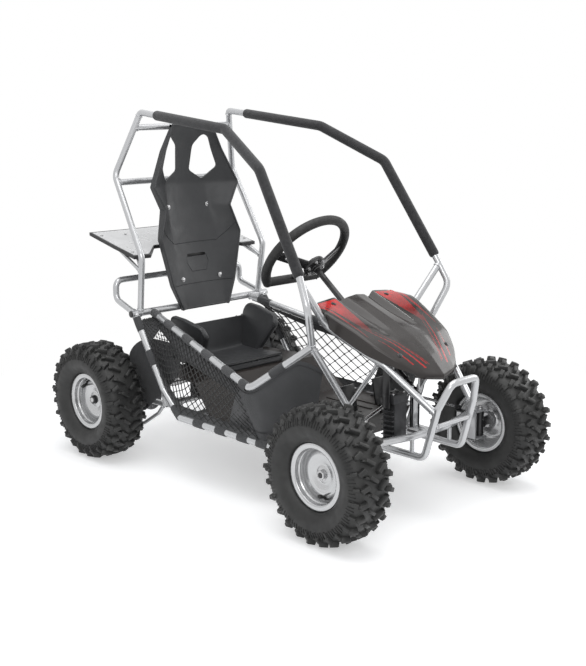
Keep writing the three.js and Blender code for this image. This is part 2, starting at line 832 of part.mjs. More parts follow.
function tyre(x, side) {
  const crown = tyreRadius - lugHeight - tyreWall / 4;
  const bead = beadDiameter / 2 + clearance;
  const [half, tread] = [tyreWidth / 2, treadWidth / 2];
  const seat = rimWidth / 2 - 2 * rimWall - 2 * clearance;
  const belly = (crown + bead) / 2;
  const lip = rimDiameter / 2 + 2 * clearance;
  const profile = [
    [bead, -seat], [lip, -seat], [belly, -half], [crown, -tread], [crown, tread],
    [belly, half], [lip, seat], [bead, seat],
    [lip, seat - tyreWall], [belly, half - tyreWall], [crown - tyreWall, 0],
    [belly, -half + tyreWall], [lip, -seat + tyreWall], [bead, -seat],
  ];
  const carcass = turnedPiece(profile, wheelSegments);
  const bands = [toothedBand(-tread, 0, 0), toothedBand(0, tread, 0.5)];
  const whole = joined([carcass, ...bands]);
  return whole.translate(x, side * halfTrack, axleHeight);
}

// Front steering

const columnTop = vector(corner(0.171, 0, 0.6145).x, 0, corner(0.171, 0, 0.6145).z);
const columnHeading = vector(Math.cos(columnAngle), 0, -Math.sin(columnAngle));
const columnFoot = vector(-Math.sin(columnAngle), 0, -Math.cos(columnAngle));

function columnPoint(reach) {
  return columnTop.clone().addScaledVector(columnHeading, reach);
}

function columnWay() {
  const ends = [columnTop, columnPoint(columnReach + overrun)];
  return fatTube(ends, boreAround(columnDiameter, roundSegments), 0, roundSegments);
}

// Turns a piece drawn about +Z, with +X towards the wheel's foot, onto the steering column.
function onColumn(geometry, reach) {
  const frame = new THREE.Matrix4().makeBasis(columnFoot, vector(0, 1, 0), columnHeading);
  const place = columnPoint(reach);
  return geometry.applyMatrix4(frame).translate(place.x, place.y, place.z);
}

function steeringWheel() {
  const grip = steeringGrip / 2;
  const radius = steeringWheelDiameter / 2 - grip;
  const rimLoop = new THREE.TorusGeometry(radius, grip, 6, discSegments);
  const p = rimLoop.attributes.position;
  for (let i = 0; i < p.count; i++) {
    const angle = Math.atan2(p.getY(i), p.getX(i));
    const flat = wheelFlat - grip;
    const limit = Math.cos(angle) * radius > flat ? flat / Math.cos(angle) / radius : 1;
    const shift = (limit - 1) * radius;
    p.setXYZ(i, p.getX(i) + shift * Math.cos(angle), p.getY(i) + shift * Math.sin(angle), p.getZ(i));
  }
  const hub = new THREE.CylinderGeometry(steeringHub / 2, steeringHub / 2, 2 * spokeThickness, 12)
    .rotateX(Math.PI / 2).translate(0, 0, wheelDish);
  const spokes = [0, 1, 2].map((i) => {
    const angle = i * (Math.PI / 2) - Math.PI / 2;
    const length = i === 1 ? wheelFlat - grip : radius;
    return spoke(length).rotateZ(angle + (i === 1 ? 0 : Math.sign(angle) * spokeRake));
  });
  const whole = joined([rimLoop, hub, ...spokes]);
  const room = columnDiameter / 2 + 2 * clearance;
  const bore = new THREE.CylinderGeometry(room, room, 3 * wheelDish, 12)
    .rotateX(Math.PI / 2).translate(0, 0, wheelDish * 2.5 - clearance);
  return onColumn(cut(whole, [bore]), 0);
}

// A flat spoke from the hub's face out to the grip's middle.
function spoke(length) {
  const half = spokeThickness / 2;
  const inner = steeringHub * 0.3;
  const outline = [[inner, wheelDish - half], [inner, wheelDish + half], [length, half], [length, -half]];
  const width = steeringGrip;
  return sidePlate(outline, -width / 2, width / 2);
}

function steeringColumn() {
  const shaft = tube([columnPoint(wheelDish), columnPoint(columnReach)], columnDiameter, 0, roundSegments);
  const arm = new THREE.Shape([
    new THREE.Vector2(0, -columnDiameter / 2 - plateThickness),
    new THREE.Vector2(pitmanLength, -rodSpread - slimTube / 2),
    new THREE.Vector2(pitmanLength + slimTube / 2, 0),
    new THREE.Vector2(pitmanLength, rodSpread + slimTube / 2),
    new THREE.Vector2(0, columnDiameter / 2 + plateThickness),
    new THREE.Vector2(-columnDiameter / 2 - plateThickness, 0),
  ]);
  const plate = new THREE.ExtrudeGeometry(arm, { depth: plateThickness, bevelEnabled: false });
  return joined([shaft, onColumn(plate, pitmanReach)]);
}

function knuckle(side) {
  const y = halfTrack - kingpinOffset;
  const hub = halfTrack - hubLength / 2 - clearance;
  const outer = hub + hubLength + 2 * clearance;
  const barrel = new THREE.CylinderGeometry(kingpinDiameter / 2, kingpinDiameter / 2, kingpinHeight, 12)
    .rotateX(Math.PI / 2).translate(halfBase, side * y, axleHeight);
  const profile = [
    [0, y], [hubDiameter / 3, y], [hubDiameter / 3, hub], [stubDiameter / 2, hub], [stubDiameter / 2, outer],
    [nutDiameter / 2, outer], [nutDiameter / 2, outer + nutThickness], [0, outer + nutThickness],
  ].map(([r, a]) => [r, side * a]);
  const stub = turnedPiece(profile, 8).translate(halfBase, 0, axleHeight);
  const z = axleHeight + kingpinHeight * 0.3;
  const ends = [side * (y - slimTube * 1.5), side * (y - slimTube / 6)].sort((a, b) => a - b);
  const arm = box(
    vector(halfBase - knuckleArm - slimTube / 2, ends[0], z),
    vector(halfBase, ends[1], z + plateThickness),
  );
  return joined([barrel, stub, arm]);
}

function tieRod(side) {
  const armTop = axleHeight + kingpinHeight * 0.3 + plateThickness;
  const farPlace = side * (halfTrack - kingpinOffset - slimTube * 0.8);
  const far = vector(halfBase - knuckleArm, farPlace, armTop + clearance + slimTube / 2);
  const tip = columnPoint(pitmanReach - clearance)
    .addScaledVector(columnFoot, pitmanLength - slimTube / 2);
  const near = vector(tip.x, side * rodSpread, tip.z);
  const nearEye = onColumn(
    new THREE.CylinderGeometry(slimTube / 2, slimTube / 2, slimTube, 8).rotateX(Math.PI / 2),
    pitmanReach - clearance - slimTube / 2,
  ).translate(near.x - columnPoint(pitmanReach - clearance).x, near.y, near.z - columnPoint(pitmanReach - clearance).z);
  const farEye = new THREE.CylinderGeometry(slimTube / 2, slimTube / 2, slimTube, 8)
    .rotateX(Math.PI / 2).translate(far.x, far.y, far.z);
  const start = near.clone().addScaledVector(columnHeading, -slimTube / 2);
  return joined([tube([start, far], slimTube * 0.8, 0, 6), nearEye, farEye]);
}

// Body panels

// Each row runs from the skirt's foot over the crease, ridge and valley to the centre line:
// forward as a share of half the wheelbase, out as a share of the hood's half width, up as a share of the cage height.
const hoodRowShares = [
  [
    [0.6, 0.87, 0.5165], [0.547, 0.81, 0.5248], [0.5486, 0.427, 0.5312],
    [0.5486, 0.34, 0.5165], [0.563, 0.2, 0.5265], [0.567, 0, 0.5307],
  ],
  [
    [0.7069, 1, 0.4743], [0.676, 1, 0.5127], [0.6908, 0.42, 0.5035],
    [0.6908, 0.31, 0.4905], [0.699, 0.2, 0.5005], [0.699, 0, 0.507],
  ],
  [
    [0.8397, 0.935, 0.4402], [0.8544, 0.91, 0.475], [0.86, 0.41, 0.4705],
    [0.8545, 0.33, 0.467], [0.8545, 0.2, 0.4735], [0.8545, 0, 0.4773],
  ],
  [
    [0.9482, 0.87, 0.4172], [0.975, 0.832, 0.443], [0.981, 0.54, 0.4455],
    [0.981, 0.33, 0.4455], [0.981, 0.22, 0.4473], [0.981, 0, 0.449],
  ],
  [
    [1.064, 0.68, 0.3945], [1.0765, 0.647, 0.4095], [1.087, 0.38, 0.411],
    [1.091, 0.25, 0.411], [1.093, 0.16, 0.4118], [1.097, 0, 0.4118],
  ],
  [
    [1.1465, 0.451, 0.376], [1.1455, 0.451, 0.381], [1.167, 0.326, 0.3773],
    [1.177, 0.22, 0.3745], [1.1845, 0.11, 0.372], [1.192, 0, 0.37],
  ],
  [
    [1.1485, 0.451, 0.369], [1.1475, 0.451, 0.369], [1.169, 0.326, 0.3636],
    [1.179, 0.22, 0.361], [1.1865, 0.11, 0.358], [1.194, 0, 0.3555],
  ],
];

function mirroredRow(half) {
  const other = half.slice(0, -1).map((place) => vector(place.x, -place.y, place.z)).reverse();
  return [...half.map((place) => place.clone()), ...other];
}

function hoodGrid() {
  return hoodRowShares.map((row) => mirroredRow(row.map(([forward, out, up]) => {
    return vector(forward * halfBase, -out * hoodHalfWidth, up * cageHeight);
  })));
}

function hood() {
  const outer = hoodGrid();
  const last = outer.length - 1;
  const inner = outer.map((row, i) => row.map((place, j) => {
    const edge = Math.min(j, row.length - 1 - j);
    const inwards = edge < 2 ? -Math.sign(place.y) * hoodWall : 0;
    const down = edge < 1 || i === last ? 0 : -hoodWall;
    const back = i >= last - 1 ? -hoodWall : 0;
    return vector(place.x + back, place.y + inwards, place.z + down);
  }));
  return cut(sheet(outer, inner), [fatTube(dashLine(-1), cageTube), fatTube(dashLine(1), cageTube)]);
}

// Rows run from the front edge to the rear; each place is back from the front corner, out and up.
const cowlRowShares = [
  [[0, 1], [-0.02, 0.76], [0.26, 0.5], [0.26, 0]],
  [[0.45, 1], [0.45, 0.76], [0.45, 0.5], [0.45, 0]],
  [[1, 0.985], [0.985, 0.76], [0.97, 0.5], [0.965, 0]],
];

function cowlGrid(lift) {
  return cowlRowShares.map((row) => mirroredRow(row.map(([back, out]) => {
    const x = cowlFront - back * cowlLength;
    return vector(x, -out * cowlHalfWidth, cowlHeight + back * cowlRise + lift);
  })));
}

function rearCowl() {
  return sheet(cowlGrid(0), cowlGrid(-cowlThickness));
}

function cowlRoom() {
  return sheet(cowlGrid(overrun), cowlGrid(-cowlThickness - clearance));
}

// The two stays that carry the cowl from each upright.
function stayLines(side) {
  const foot = between(hoopLine(side)[2], hoopLine(side)[3], stayShare);
  const [front, , rear] = cowlGrid(-cowlThickness / 2);
  const place = (row) => between(row[0], row[1], 0).setY(side * cowlHalfWidth * 0.9);
  const ahead = place(front);
  const near = ahead.clone().setX(ahead.x - slimTube * 1.5);
  return [[foot, near], [foot, between(ahead, place(rear), 0.6)]];
}

function floorTray() {
  const rows = trayRowShares.map(([forward, out, up]) => mirroredRow([1, 0.5, 0].map((share) => {
    return vector(forward * halfBase, -share * out * halfTrack, floorTop + up * cageHeight);
  })));
  const top = rows.map((row) => row.map((place) => place.clone().setZ(place.z + trayThickness)));
  return sheet(top, rows);
}

function seatPan() {
  const low = floorTop + trayRowShares[0][2] * cageHeight + trayThickness + clearance;
  const flare = (up) => ((panHalfWidth - panFootWidth) * up) / panHeight;
  const outline = panSideShares.map(([along, up]) => [panRear + along * panLength, low + up * panHeight]);
  const walls = [-1, 1].map((side) => {
    const ends = [side * panFootWidth, side * panInnerWidth].sort((a, b) => a - b);
    const wall = sidePlate(outline, ends[0], ends[1]);
    const p = wall.attributes.position;
    for (let i = 0; i < p.count; i++) p.setY(i, p.getY(i) + side * flare(p.getZ(i) - low));
    return wall;
  });
  const base = sidePlate(
    [
      [panRear, low], [panRear + panLength, low],
      [panRear + panLength * 0.97, low + panBase * 0.9], [panRear, low + panBase],
    ],
    -panFootWidth, panFootWidth,
  );
  const edge = (panFootWidth + panInnerWidth) / 2;
  const backOutline = [[-1, 0], [1, 0], [1, panBackHeight], [-1, panBackHeight]];
  const backShape = new THREE.Shape(backOutline.map(([side, up]) => new THREE.Vector2(side * (edge + flare(up)), up)));
  const back = new THREE.ExtrudeGeometry(backShape, { depth: panBase * 0.7, bevelEnabled: false })
    .rotateX(Math.PI / 2)
    .rotateZ(Math.PI / 2)
    .translate(panRear, 0, low);
  return joined([...walls, base, back]);
}

const panSideShares = [
  [0, 0], [0, 0.88], [0.07, 1], [0.3, 0.975], [0.7, 0.86], [0.78, 0.68], [0.5, 0.13], [0.97, 0.12], [1, 0],
];
// Each row: forward, out, and up from the top of the floor bars.
const trayRowShares = [
  [-0.67, 0.66, 0.083], [-0.25, 0.75, 0.083], [-0.04, 0.815, 0], [0.455, 0.8, 0],
  [0.55, 0.53, 0], [0.76, 0.27, 0], [0.83, 0.24, 0.06],
];
const floorTop = floorBarShares[1][2] * cageHeight + (chassisTube / 2) * Math.cos(Math.PI / tubeSides) + clearance;

function batteryBox() {
  return box(
    vector(batteryPlace - batteryLength / 2, -batteryWidth / 2, floorTop),
    vector(batteryPlace + batteryLength / 2, batteryWidth / 2, floorTop + batteryHeight),
  );
}

function motorController() {
  const half = vector(controllerLength / 2, controllerWidth / 2, controllerHeight / 2);
  const body = box(controllerPlace.clone().sub(half), controllerPlace.clone().add(half));
  const pitch = controllerLength / finCount;
  const fins = Array.from({ length: finCount }, (_, i) => {
    const x = controllerPlace.x - half.x + (i + 0.25) * pitch;
    const y = controllerPlace.y - half.y;
    const foot = controllerPlace.z - half.z;
    return box(
      vector(x, y - finDepth, foot + controllerHeight * 0.08),
      vector(x + pitch / 2, y + finDepth, foot + controllerHeight * 0.5),
    );
  });
  return joined([body, ...fins]);
}

// The strap that hangs the controller from the dash tube.
function controllerBracket() {
  const face = controllerHang.y + seatStrapThickness / 2;
  return [box(
    vector(controllerPlace.x - slimTube, face - seatStrapThickness, controllerPlace.z + controllerHeight * 0.2),
    vector(controllerPlace.x + slimTube, face, controllerHang.z),
  )];
}

// Pedals

const pedalFloor = floorTop + trayThickness + clearance;
const pedalAxisZ = pedalFloor + pedalPin * 1.4;

function pedalBracket() {
  const half = pedalPlace + pedalWidth * 0.75;
  const base = box(
    vector(pedalPivot - pedalPin * 1.5, -half, pedalFloor),
    vector(pedalPivot + pedalPin * 1.5, half, pedalFloor + seatStrapThickness / 2),
  );
  const pin = crossCylinder(pedalPin, pedalPivot, pedalAxisZ, -half, half, 8);
  const ears = [-1, 1].flatMap((side) => [-1, 1].map((edge) => {
    const y = side * pedalPlace + edge * (pedalWidth / 2 + seatStrapThickness);
    return box(
      vector(pedalPivot - pedalPin, y - seatStrapThickness / 2, pedalFloor),
      vector(pedalPivot + pedalPin, y + seatStrapThickness / 2, pedalAxisZ + pedalPin),
    );
  }));
  return joined([base, pin, ...ears]);
}

function pedal(side) {
  const y = side * pedalPlace;
  const wide = pedalWidth / 2;
  const pad = box(
    vector(-pedalThickness / 2, -wide, pedalHeight * 0.35),
    vector(pedalThickness / 2, wide, pedalHeight),
  );
  const stem = box(
    vector(-pedalThickness / 2, -wide / 2, 0),
    vector(pedalThickness / 2, wide / 2, pedalHeight * 0.5),
  );
  const sleeve = crossCylinder(pedalPin * 1.8, 0, 0, -wide, wide, 12);
  const bore = crossCylinder(pedalPin + 2 * clearance, 0, 0, -wide - overrun, wide + overrun, 12);
  return cut(joined([pad, stem, sleeve]).rotateY(-pedalLean), [bore.rotateY(-pedalLean)])
    .translate(pedalPivot, y, pedalAxisZ);
}

// Nets and side panels

const netTopShares = [0.1, 0.86];
const netFootShares = [0.36, 0.68];
const topLoopShares = [0.08, 0.5, 0.92];
const footLoopShares = [0.3, 0.85];
const hang = chassisTube / 2 + clearance + loopThickness / 2;

function alongLine(line, share) {
  return stretch(line, 0, share).at(-1);
}

function netEdges(side) {
  const top = railLine(side).slice(0, 2);
  const foot = sideLine(side).slice(0, 4);
  const [a, b] = netTopShares;
  const [c, d] = netFootShares;
  return {
    top: (u) => alongLine(top, a + (b - a) * u).add(vector(0, 0, -hang)),
    foot: (u) => alongLine(foot, c + (d - c) * u).add(vector(0, 0, hang)),
  };
}

function sideNet(side) {
  const { top, foot } = netEdges(side);
  const border = netBorder / top(0.5).distanceTo(foot(0.5));
  const down = (row) => {
    if (row < 0) return 0;
    if (row > netRows) return 1;
    return border + (1 - 2 * border) * (row / netRows);
  };
  const node = (i, j) => between(top(i / netColumns), foot(i / netColumns), down(j));
  const triangles = [];
  const shift = vector(0, netThickness / 2, 0);
  const near = (place) => place.clone().add(shift);
  const far = (place) => place.clone().sub(shift);
  const face = (...loop) => {
    for (let k = 1; k + 1 < loop.length; k++) {
      triangles.push(near(loop[0]), near(loop[k]), near(loop[k + 1]));
      triangles.push(far(loop[0]), far(loop[k + 1]), far(loop[k]));
    }
  };
  const wall = (a, b) => triangles.push(near(a), far(a), far(b), near(a), far(b), near(b));
  for (let i = 0; i <= netColumns; i++) {
    for (let j = 0; j <= netRows; j++) {
      if ((i + j) % 2 === 0) continue;
      const [left, above, right, below] = [[i - 1, j], [i, j - 1], [i + 1, j], [i, j + 1]];
      const ring = [left, above, right, below]
        .filter(([a, b]) => a >= 0 && b >= 0 && a <= netColumns && b <= netRows)
        .map(([a, b]) => node(a, b));
      if (ring.length < 4) {
        face(...ring);
        continue;
      }
      const centre = node(i, j);
      const hole = ring.map((place) => between(centre, place, netHoleShare));
      ring.forEach((place, k) => {
        const next = (k + 1) % 4;
        face(place, ring[next], hole[next], hole[k]);
        wall(hole[next], hole[k]);
      });
    }
  }
  for (let i = 0; i < netColumns; i += 2) {
    face(node(i, -1), node(i + 2, -1), node(i + 2, 0), node(i, 0));
    face(node(i, netRows), node(i + 2, netRows), node(i + 2, netRows + 1), node(i, netRows + 1));
    wall(node(i, -1), node(i + 2, -1));
    wall(node(i + 2, netRows + 1), node(i, netRows + 1));
  }
  for (const [i, turn] of [[netColumns, 1], [0, -1]]) {
    const stops = [-1, ...Array.from({ length: netRows / 2 + 1 }, (_, k) => 2 * k), netRows + 1];
    for (let k = 0; k + 1 < stops.length; k++) {
      const pair = [node(i, stops[k]), node(i, stops[k + 1])];
      if (turn < 0) pair.reverse();
      wall(...pair);
    }
  }
  const net = outward(new THREE.BufferGeometry().setFromPoints(triangles));
  const [a, b] = netTopShares;
  const [c, d] = netFootShares;
  const loops = [
    ...topLoopShares.map((share) => strapLoop(railLine(side).slice(0, 2), a + (b - a) * share)),
    ...footLoopShares.map((share) => strapLoop(sideLine(side).slice(0, 4), c + (d - c) * share)),
  ];
  return cut(joined([net, ...loops]), [
    fatTube(railLine(side), chassisTube), fatTube(sideLine(side), chassisTube, smallBend),
    fatTube(floorBarLine(floorBarShares[0]), chassisTube),
  ]);
}

// A fabric loop round a rail, before the rail's own room is cut from it.
function strapLoop(line, share) {
  const middle = alongLine(line, share);
  const next = alongLine(line, Math.min(share + 0.01, 1));
  const heading = next.sub(middle).normalize();
  const ends = [-1, 1].map((at) => middle.clone().addScaledVector(heading, (at * loopLength) / 2));
  return tube(ends, chassisTube + 2 * clearance + 2 * loopThickness, 0);
}

function sidePanel(side) {
  const rail = railLine(side);
  const frame = sideLine(side);
  const strut = strutLine(side);
  const low = vector(0, 0, -hang);
  const high = vector(0, 0, hang);
  const top = [
    alongLine(rail.slice(0, 2), 0.9), alongLine(rail.slice(0, 2), 0.97), between(rail[1], rail[2], 0.14),
    between(rail[1], rail[2], 0.78), between(strut[0], strut[1], 0.3),
  ].map((place) => place.add(low));
  const foot = [
    between(frame[2], frame[3], 0.56), between(frame[2], frame[3], 0.8), between(frame[2], frame[3], 0.97),
    between(frame[3], frame[4], 0.55), between(frame[4], frame[5], 0.1),
  ].map((place) => place.add(high));
  const bulge = vector(0, side * panelThickness, 0);
  const rows = [top, top.map((place, i) => between(place, foot[i], 0.5).add(bulge)), foot];
  const inwards = vector(-panelThickness * 0.7, -side * panelThickness * 0.7, 0);
  const inner = rows.map((row) => row.map((place) => place.clone().add(inwards)));
  const loops = [strapLoop(rail.slice(1), 0.5), strapLoop(frame.slice(2, 4), 0.72)];
  return cut(joined([sheet(rows, inner), ...loops]), [
    fatTube(rail, chassisTube), fatTube(frame, chassisTube, smallBend), fatTube(strut, cageTube),
    fatTube(roofLine(side), cageTube),
  ]);
}

// Finishes

function finish(color, roughness, metalness) {
  return new THREE.MeshStandardMaterial({ color, roughness, metalness });
}

const silverPaint = finish(0xc4c6c8, 0.35, 0.55);
const rimPaint = finish(0xbfc0c2, 0.4, 0.6);
const foam = finish(0x232324, 0.85, 0);
const seatPlastic = finish(0x2c2d2f, 0.6, 0);
const hoodPlastic = finish(0x3a3435, 0.25, 0.1);
const cowlPlastic = finish(0xb9bbbd, 0.4, 0.2);
const trayPlastic = finish(0x2a2523, 0.4, 0);
const netCord = finish(0x161616, 0.8, 0);
const vinyl = finish(0x333436, 0.7, 0);
const rubber = finish(0x252525, 0.85, 0);
const blackPaint = finish(0x1b1b1c, 0.5, 0.3);
const steel = finish(0x8f9294, 0.35, 0.9);
const darkSteel = finish(0x3c3c3e, 0.5, 0.8);

const group = new THREE.Group();

function add(name, geometry, material) {
  const mesh = new THREE.Mesh(geometry, material);
  mesh.name = name;
  group.add(mesh);
}

function addPair(name, make, material) {
  add(`${name}_right`, make(-1), material);
  add(`${name}_left`, make(1), material);
}

add('main_hoop', mainHoop(), silverPaint);
add('rear_crossbar', tube(crossbarLine, chassisTube), silverPaint);
add('rear_loop', rearLoop(), silverPaint);
addPair('side_frame', sideFrame, silverPaint);
add('floor_bar_rear', floorBar(floorBarShares[0]), silverPaint);
add('floor_bar_front', floorBar(floorBarShares[1]), silverPaint);
addPair('side_rail', sideRail, silverPaint);
addPair('roof_bar', roofBar, silverPaint);
addPair('roof_foam', foamSleeve, foam);
add('dash_frame', dashFrame(), silverPaint);
addPair('front_strut', frontStrut, silverPaint);
add('bumper', bumper(), silverPaint);
add('front_beam', frontBeam(), silverPaint);
add('rear_subframe', rearSubframe(), silverPaint);

add('seat_back', seatBack(), seatPlastic);
add('seat_pan', seatPan(), seatPlastic);
add('hood', hood(), hoodPlastic);
add('rear_cowl', rearCowl(), cowlPlastic);
add('floor_tray', floorTray(), trayPlastic);
addPair('side_net', sideNet, netCord);
addPair('side_panel', sidePanel, vinyl);

add('battery_box', batteryBox(), blackPaint);
add('motor_controller', motorController(), darkSteel);
add('drive_motor', driveMotor(), blackPaint);
add('motor_sprocket', pinion(), steel);
add('drive_chain', driveChain(), darkSteel);
add('axle_sprocket', axleDisc(sprocketDiameter, sprocketThickness, sprocketPlace), steel);
add('brake_disc', axleDisc(discDiameter, discThickness, discPlace), steel);
add('brake_caliper', brakeCaliper(), blackPaint);
add('rear_axle', rearAxle(), steel);
addPair('axle_bearing', axleBearing, darkSteel);

add('pedal_bracket', pedalBracket(), blackPaint);
add('throttle_pedal', pedal(-1), blackPaint);
add('brake_pedal', pedal(1), blackPaint);
add('steering_column', steeringColumn(), blackPaint);
add('steering_wheel', steeringWheel(), rubber);
addPair('tie_rod', tieRod, steel);
addPair('knuckle', knuckle, blackPaint);

for (const [end, x] of [['front', halfBase], ['rear', -halfBase]]) {
  addPair(`${end}_rim`, (side) => rim(x, side), rimPaint);
  addPair(`${end}_tyre`, (side) => tyre(x, side), rubber);
}

export default group;
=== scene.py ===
# %% [markdown]
# # An off road go kart
# This lesson dresses a go kart whose frame, wheels and joints were already made as plain solids. All
# sizes are in metres. +X points forward, +Y to the driver's left and +Z up.

# %% Load the frame
import math
import random
import bmesh
import bpy
from mathutils import Matrix, Vector


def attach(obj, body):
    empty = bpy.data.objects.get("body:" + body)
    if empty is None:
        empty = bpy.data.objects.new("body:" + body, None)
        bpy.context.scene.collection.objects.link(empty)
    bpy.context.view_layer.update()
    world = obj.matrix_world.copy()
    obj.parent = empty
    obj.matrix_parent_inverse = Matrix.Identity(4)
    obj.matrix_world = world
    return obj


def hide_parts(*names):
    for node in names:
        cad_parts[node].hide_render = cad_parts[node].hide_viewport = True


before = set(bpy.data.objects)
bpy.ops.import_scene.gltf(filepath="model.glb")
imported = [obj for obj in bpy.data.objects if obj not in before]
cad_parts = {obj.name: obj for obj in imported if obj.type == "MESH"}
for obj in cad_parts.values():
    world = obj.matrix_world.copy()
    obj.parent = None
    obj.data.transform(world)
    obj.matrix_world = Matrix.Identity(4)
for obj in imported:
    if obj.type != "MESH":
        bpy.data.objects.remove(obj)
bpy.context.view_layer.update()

# %% [markdown]
# Most of a kart is bent tube, so the first helpers turn a few corner points into a smooth line and sweep
# a round section along it. A curve with a bevel does the sweep well, and it is turned into a mesh at
# once, so that brackets and weld beads can join the same piece.

# %% Tools for tubes
HALF_BASE = 0.515
HALF_TRACK = 0.347
CAGE_HEIGHT = 1.1
CAGE_TUBE = 0.020
CHASSIS_TUBE = 0.022
SLIM_TUBE = 0.012
BEND = 0.045
TIGHT_BEND = 0.027


def share_point(row, side=1):
    """A point from its shares of half the wheelbase, half the track and the cage's height."""
    forward, out, up = row
    return Vector((forward * HALF_BASE, side * out * HALF_TRACK, up * CAGE_HEIGHT))


def share_line(rows, side=1):
    """A line of such points."""
    return [share_point(row, side) for row in rows]


def rounded(points, bend, steps=8):
    """A line through the points, with each inner corner bent to a radius."""
    line = [points[0].copy()]
    for before, corner, after in zip(points, points[1:], points[2:]):
        back, ahead = before - corner, after - corner
        turn = math.pi - back.angle(ahead)
        reach = min(bend * math.tan(turn / 2), back.length / 2.05, ahead.length / 2.05)
        start, end = corner + back.normalized() * reach, corner + ahead.normalized() * reach
        for i in range(steps + 1):
            t = i / steps
            line.append(start.lerp(corner, t).lerp(corner.lerp(end, t), t))
    line.append(points[-1].copy())
    return line


def fresh_faces(bm, old_faces, index=0):
    """The faces made since old_faces was read. Each gets the material index."""
    faces = [face for face in bm.faces if face not in old_faces]
    for face in faces:
        face.material_index = index
    return faces


def sweep(bm, points, diameter, bend=BEND, roundness=8, ends=None, index=0):
    """Runs a round section along a line. With ends, it gets smaller over that length at both ends."""
    old_faces = set(bm.faces)
    curve = bpy.data.curves.new("swept", "CURVE")
    curve.dimensions = "3D"
    curve.bevel_depth = diameter / 2
    curve.bevel_resolution = roundness
    curve.use_fill_caps = True
    line = [Vector(point) for point in points]
    if bend:
        line = rounded(line, bend)
    if ends:
        first = (line[1] - line[0]).normalized() * ends
        last = (line[-2] - line[-1]).normalized() * ends
        line = [line[0], line[0] + first * 0.3, line[0] + first, *line[1:-1],
                line[-1] + last, line[-1] + last * 0.3, line[-1]]
    spline = curve.splines.new("POLY")
    spline.points.add(len(line) - 1)
    for point, place in zip(spline.points, line):
        point.co = (*place, 1)
    if ends:
        for i, size in ((0, 0.72), (1, 0.9), (-1, 0.72), (-2, 0.9)):
            spline.points[i].radius = size
    holder = bpy.data.objects.new("swept", curve)
    mesh = bpy.data.meshes.new_from_object(holder)
    bm.from_mesh(mesh)
    bmesh.ops.remove_doubles(bm, verts=bm.verts, dist=1e-6)
    bpy.data.objects.remove(holder)
    bpy.data.curves.remove(curve)
    bpy.data.meshes.remove(mesh)
    bmesh.ops.recalc_face_normals(bm, faces=fresh_faces(bm, old_faces, index))


def stretch(line, start, end):
    """The part of a line between two shares of its length."""
    lengths = [0.0]
    for a, b in zip(line, line[1:]):
        lengths.append(lengths[-1] + (b - a).length)
    low, high = start * lengths[-1], end * lengths[-1]

    def at(reach):
        for i in range(len(line) - 1):
            if lengths[i + 1] >= reach - 1e-9:
                share = (reach - lengths[i]) / max(lengths[i + 1] - lengths[i], 1e-9)
                return line[i].lerp(line[i + 1], share)
        return line[-1].copy()

    inside = [p.copy() for p, reach in zip(line, lengths) if low + 1e-4 < reach < high - 1e-4]
    return [at(low), *inside, at(high)]


def shade(bm, sharp):
    """Smooth shading, but for edges that turn by more than the sharp angle."""
    bm.normal_update()
    for face in bm.faces:
        face.smooth = True
    for edge in bm.edges:
        edge.smooth = len(edge.link_faces) == 2 and edge.calc_face_angle(0) < math.radians(sharp)


def piece(name, bm, finishes, body, replaces=(), sharp=38):
    """Makes the finished object. It rides on a body in place of the plain solids named in replaces."""
    shade(bm, sharp)
    mesh = bpy.data.meshes.new(name)
    bm.to_mesh(mesh)
    bm.free()
    made = bpy.data.objects.new(name, mesh)
    bpy.context.scene.collection.objects.link(made)
    for finish in finishes if isinstance(finishes, (list, tuple)) else [finishes]:
        mesh.materials.append(finish)
    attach(made, body)
    if replaces:
        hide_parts(*replaces)
    return made


print("tube helpers ready")

# %% [markdown]
# Small parts such as plates, bolts and weld beads are boxes, discs and rings. Each helper adds one to a
# mesh that is being built, and rounds its edges a little, because a real edge always catches some light.

# %% Tools for plates, bolts and turned shapes
BEAD_RADIUS = 0.0018


def verts_of(faces):
    """The corners of some faces, each once."""
    return list({vert for face in faces for vert in face.verts})


def edges_of(verts):
    """The edges at some corners, each once."""
    return list({edge for vert in verts for edge in vert.link_edges})


def rounded_off(bm, edges, width):
    """A small bevel of two segments, which is what a real edge has."""
    bmesh.ops.bevel(bm, geom=edges, offset=width, segments=2, profile=0.5, affect="EDGES", material=-1)


def set_down(bm, old_faces, turn, place, index):
    """Turns and moves the part made since old_faces was read."""
    verts = verts_of(fresh_faces(bm, old_faces, index))
    if turn:
        bmesh.ops.rotate(bm, cent=(0, 0, 0), matrix=turn, verts=verts)
    bmesh.ops.translate(bm, vec=Vector(place), verts=verts)


def block(bm, size, place, turn=None, bevel=0.0008, index=0):
    """A box with rounded edges."""
    old_faces = set(bm.faces)
    verts = bmesh.ops.create_cube(bm, size=1)["verts"]
    bmesh.ops.scale(bm, vec=Vector(size), verts=verts)
    if bevel:
        rounded_off(bm, edges_of(verts), bevel)
    set_down(bm, old_faces, turn, place, index)


def towards(direction):
    """The turn that lays the Z axis along a direction."""
    return Vector((0, 0, 1)).rotation_difference(Vector(direction).normalized()).to_matrix()


def disc(bm, radius, depth, place, direction=(0, 1, 0), sides=24, bevel=0.0008, tip=None, index=0):
    """A round plate or pin about a direction. With tip, its far end has another radius."""
    old_faces = set(bm.faces)
    far_radius = radius if tip is None else tip
    verts = bmesh.ops.create_cone(bm, cap_ends=True, segments=sides, radius1=radius, radius2=far_radius,
                                  depth=depth)["verts"]
    if bevel:
        rounded_off(bm, [e for e in edges_of(verts) if abs(e.verts[0].co.z - e.verts[1].co.z) < 1e-9], bevel)
    set_down(bm, old_faces, towards(direction), place, index)


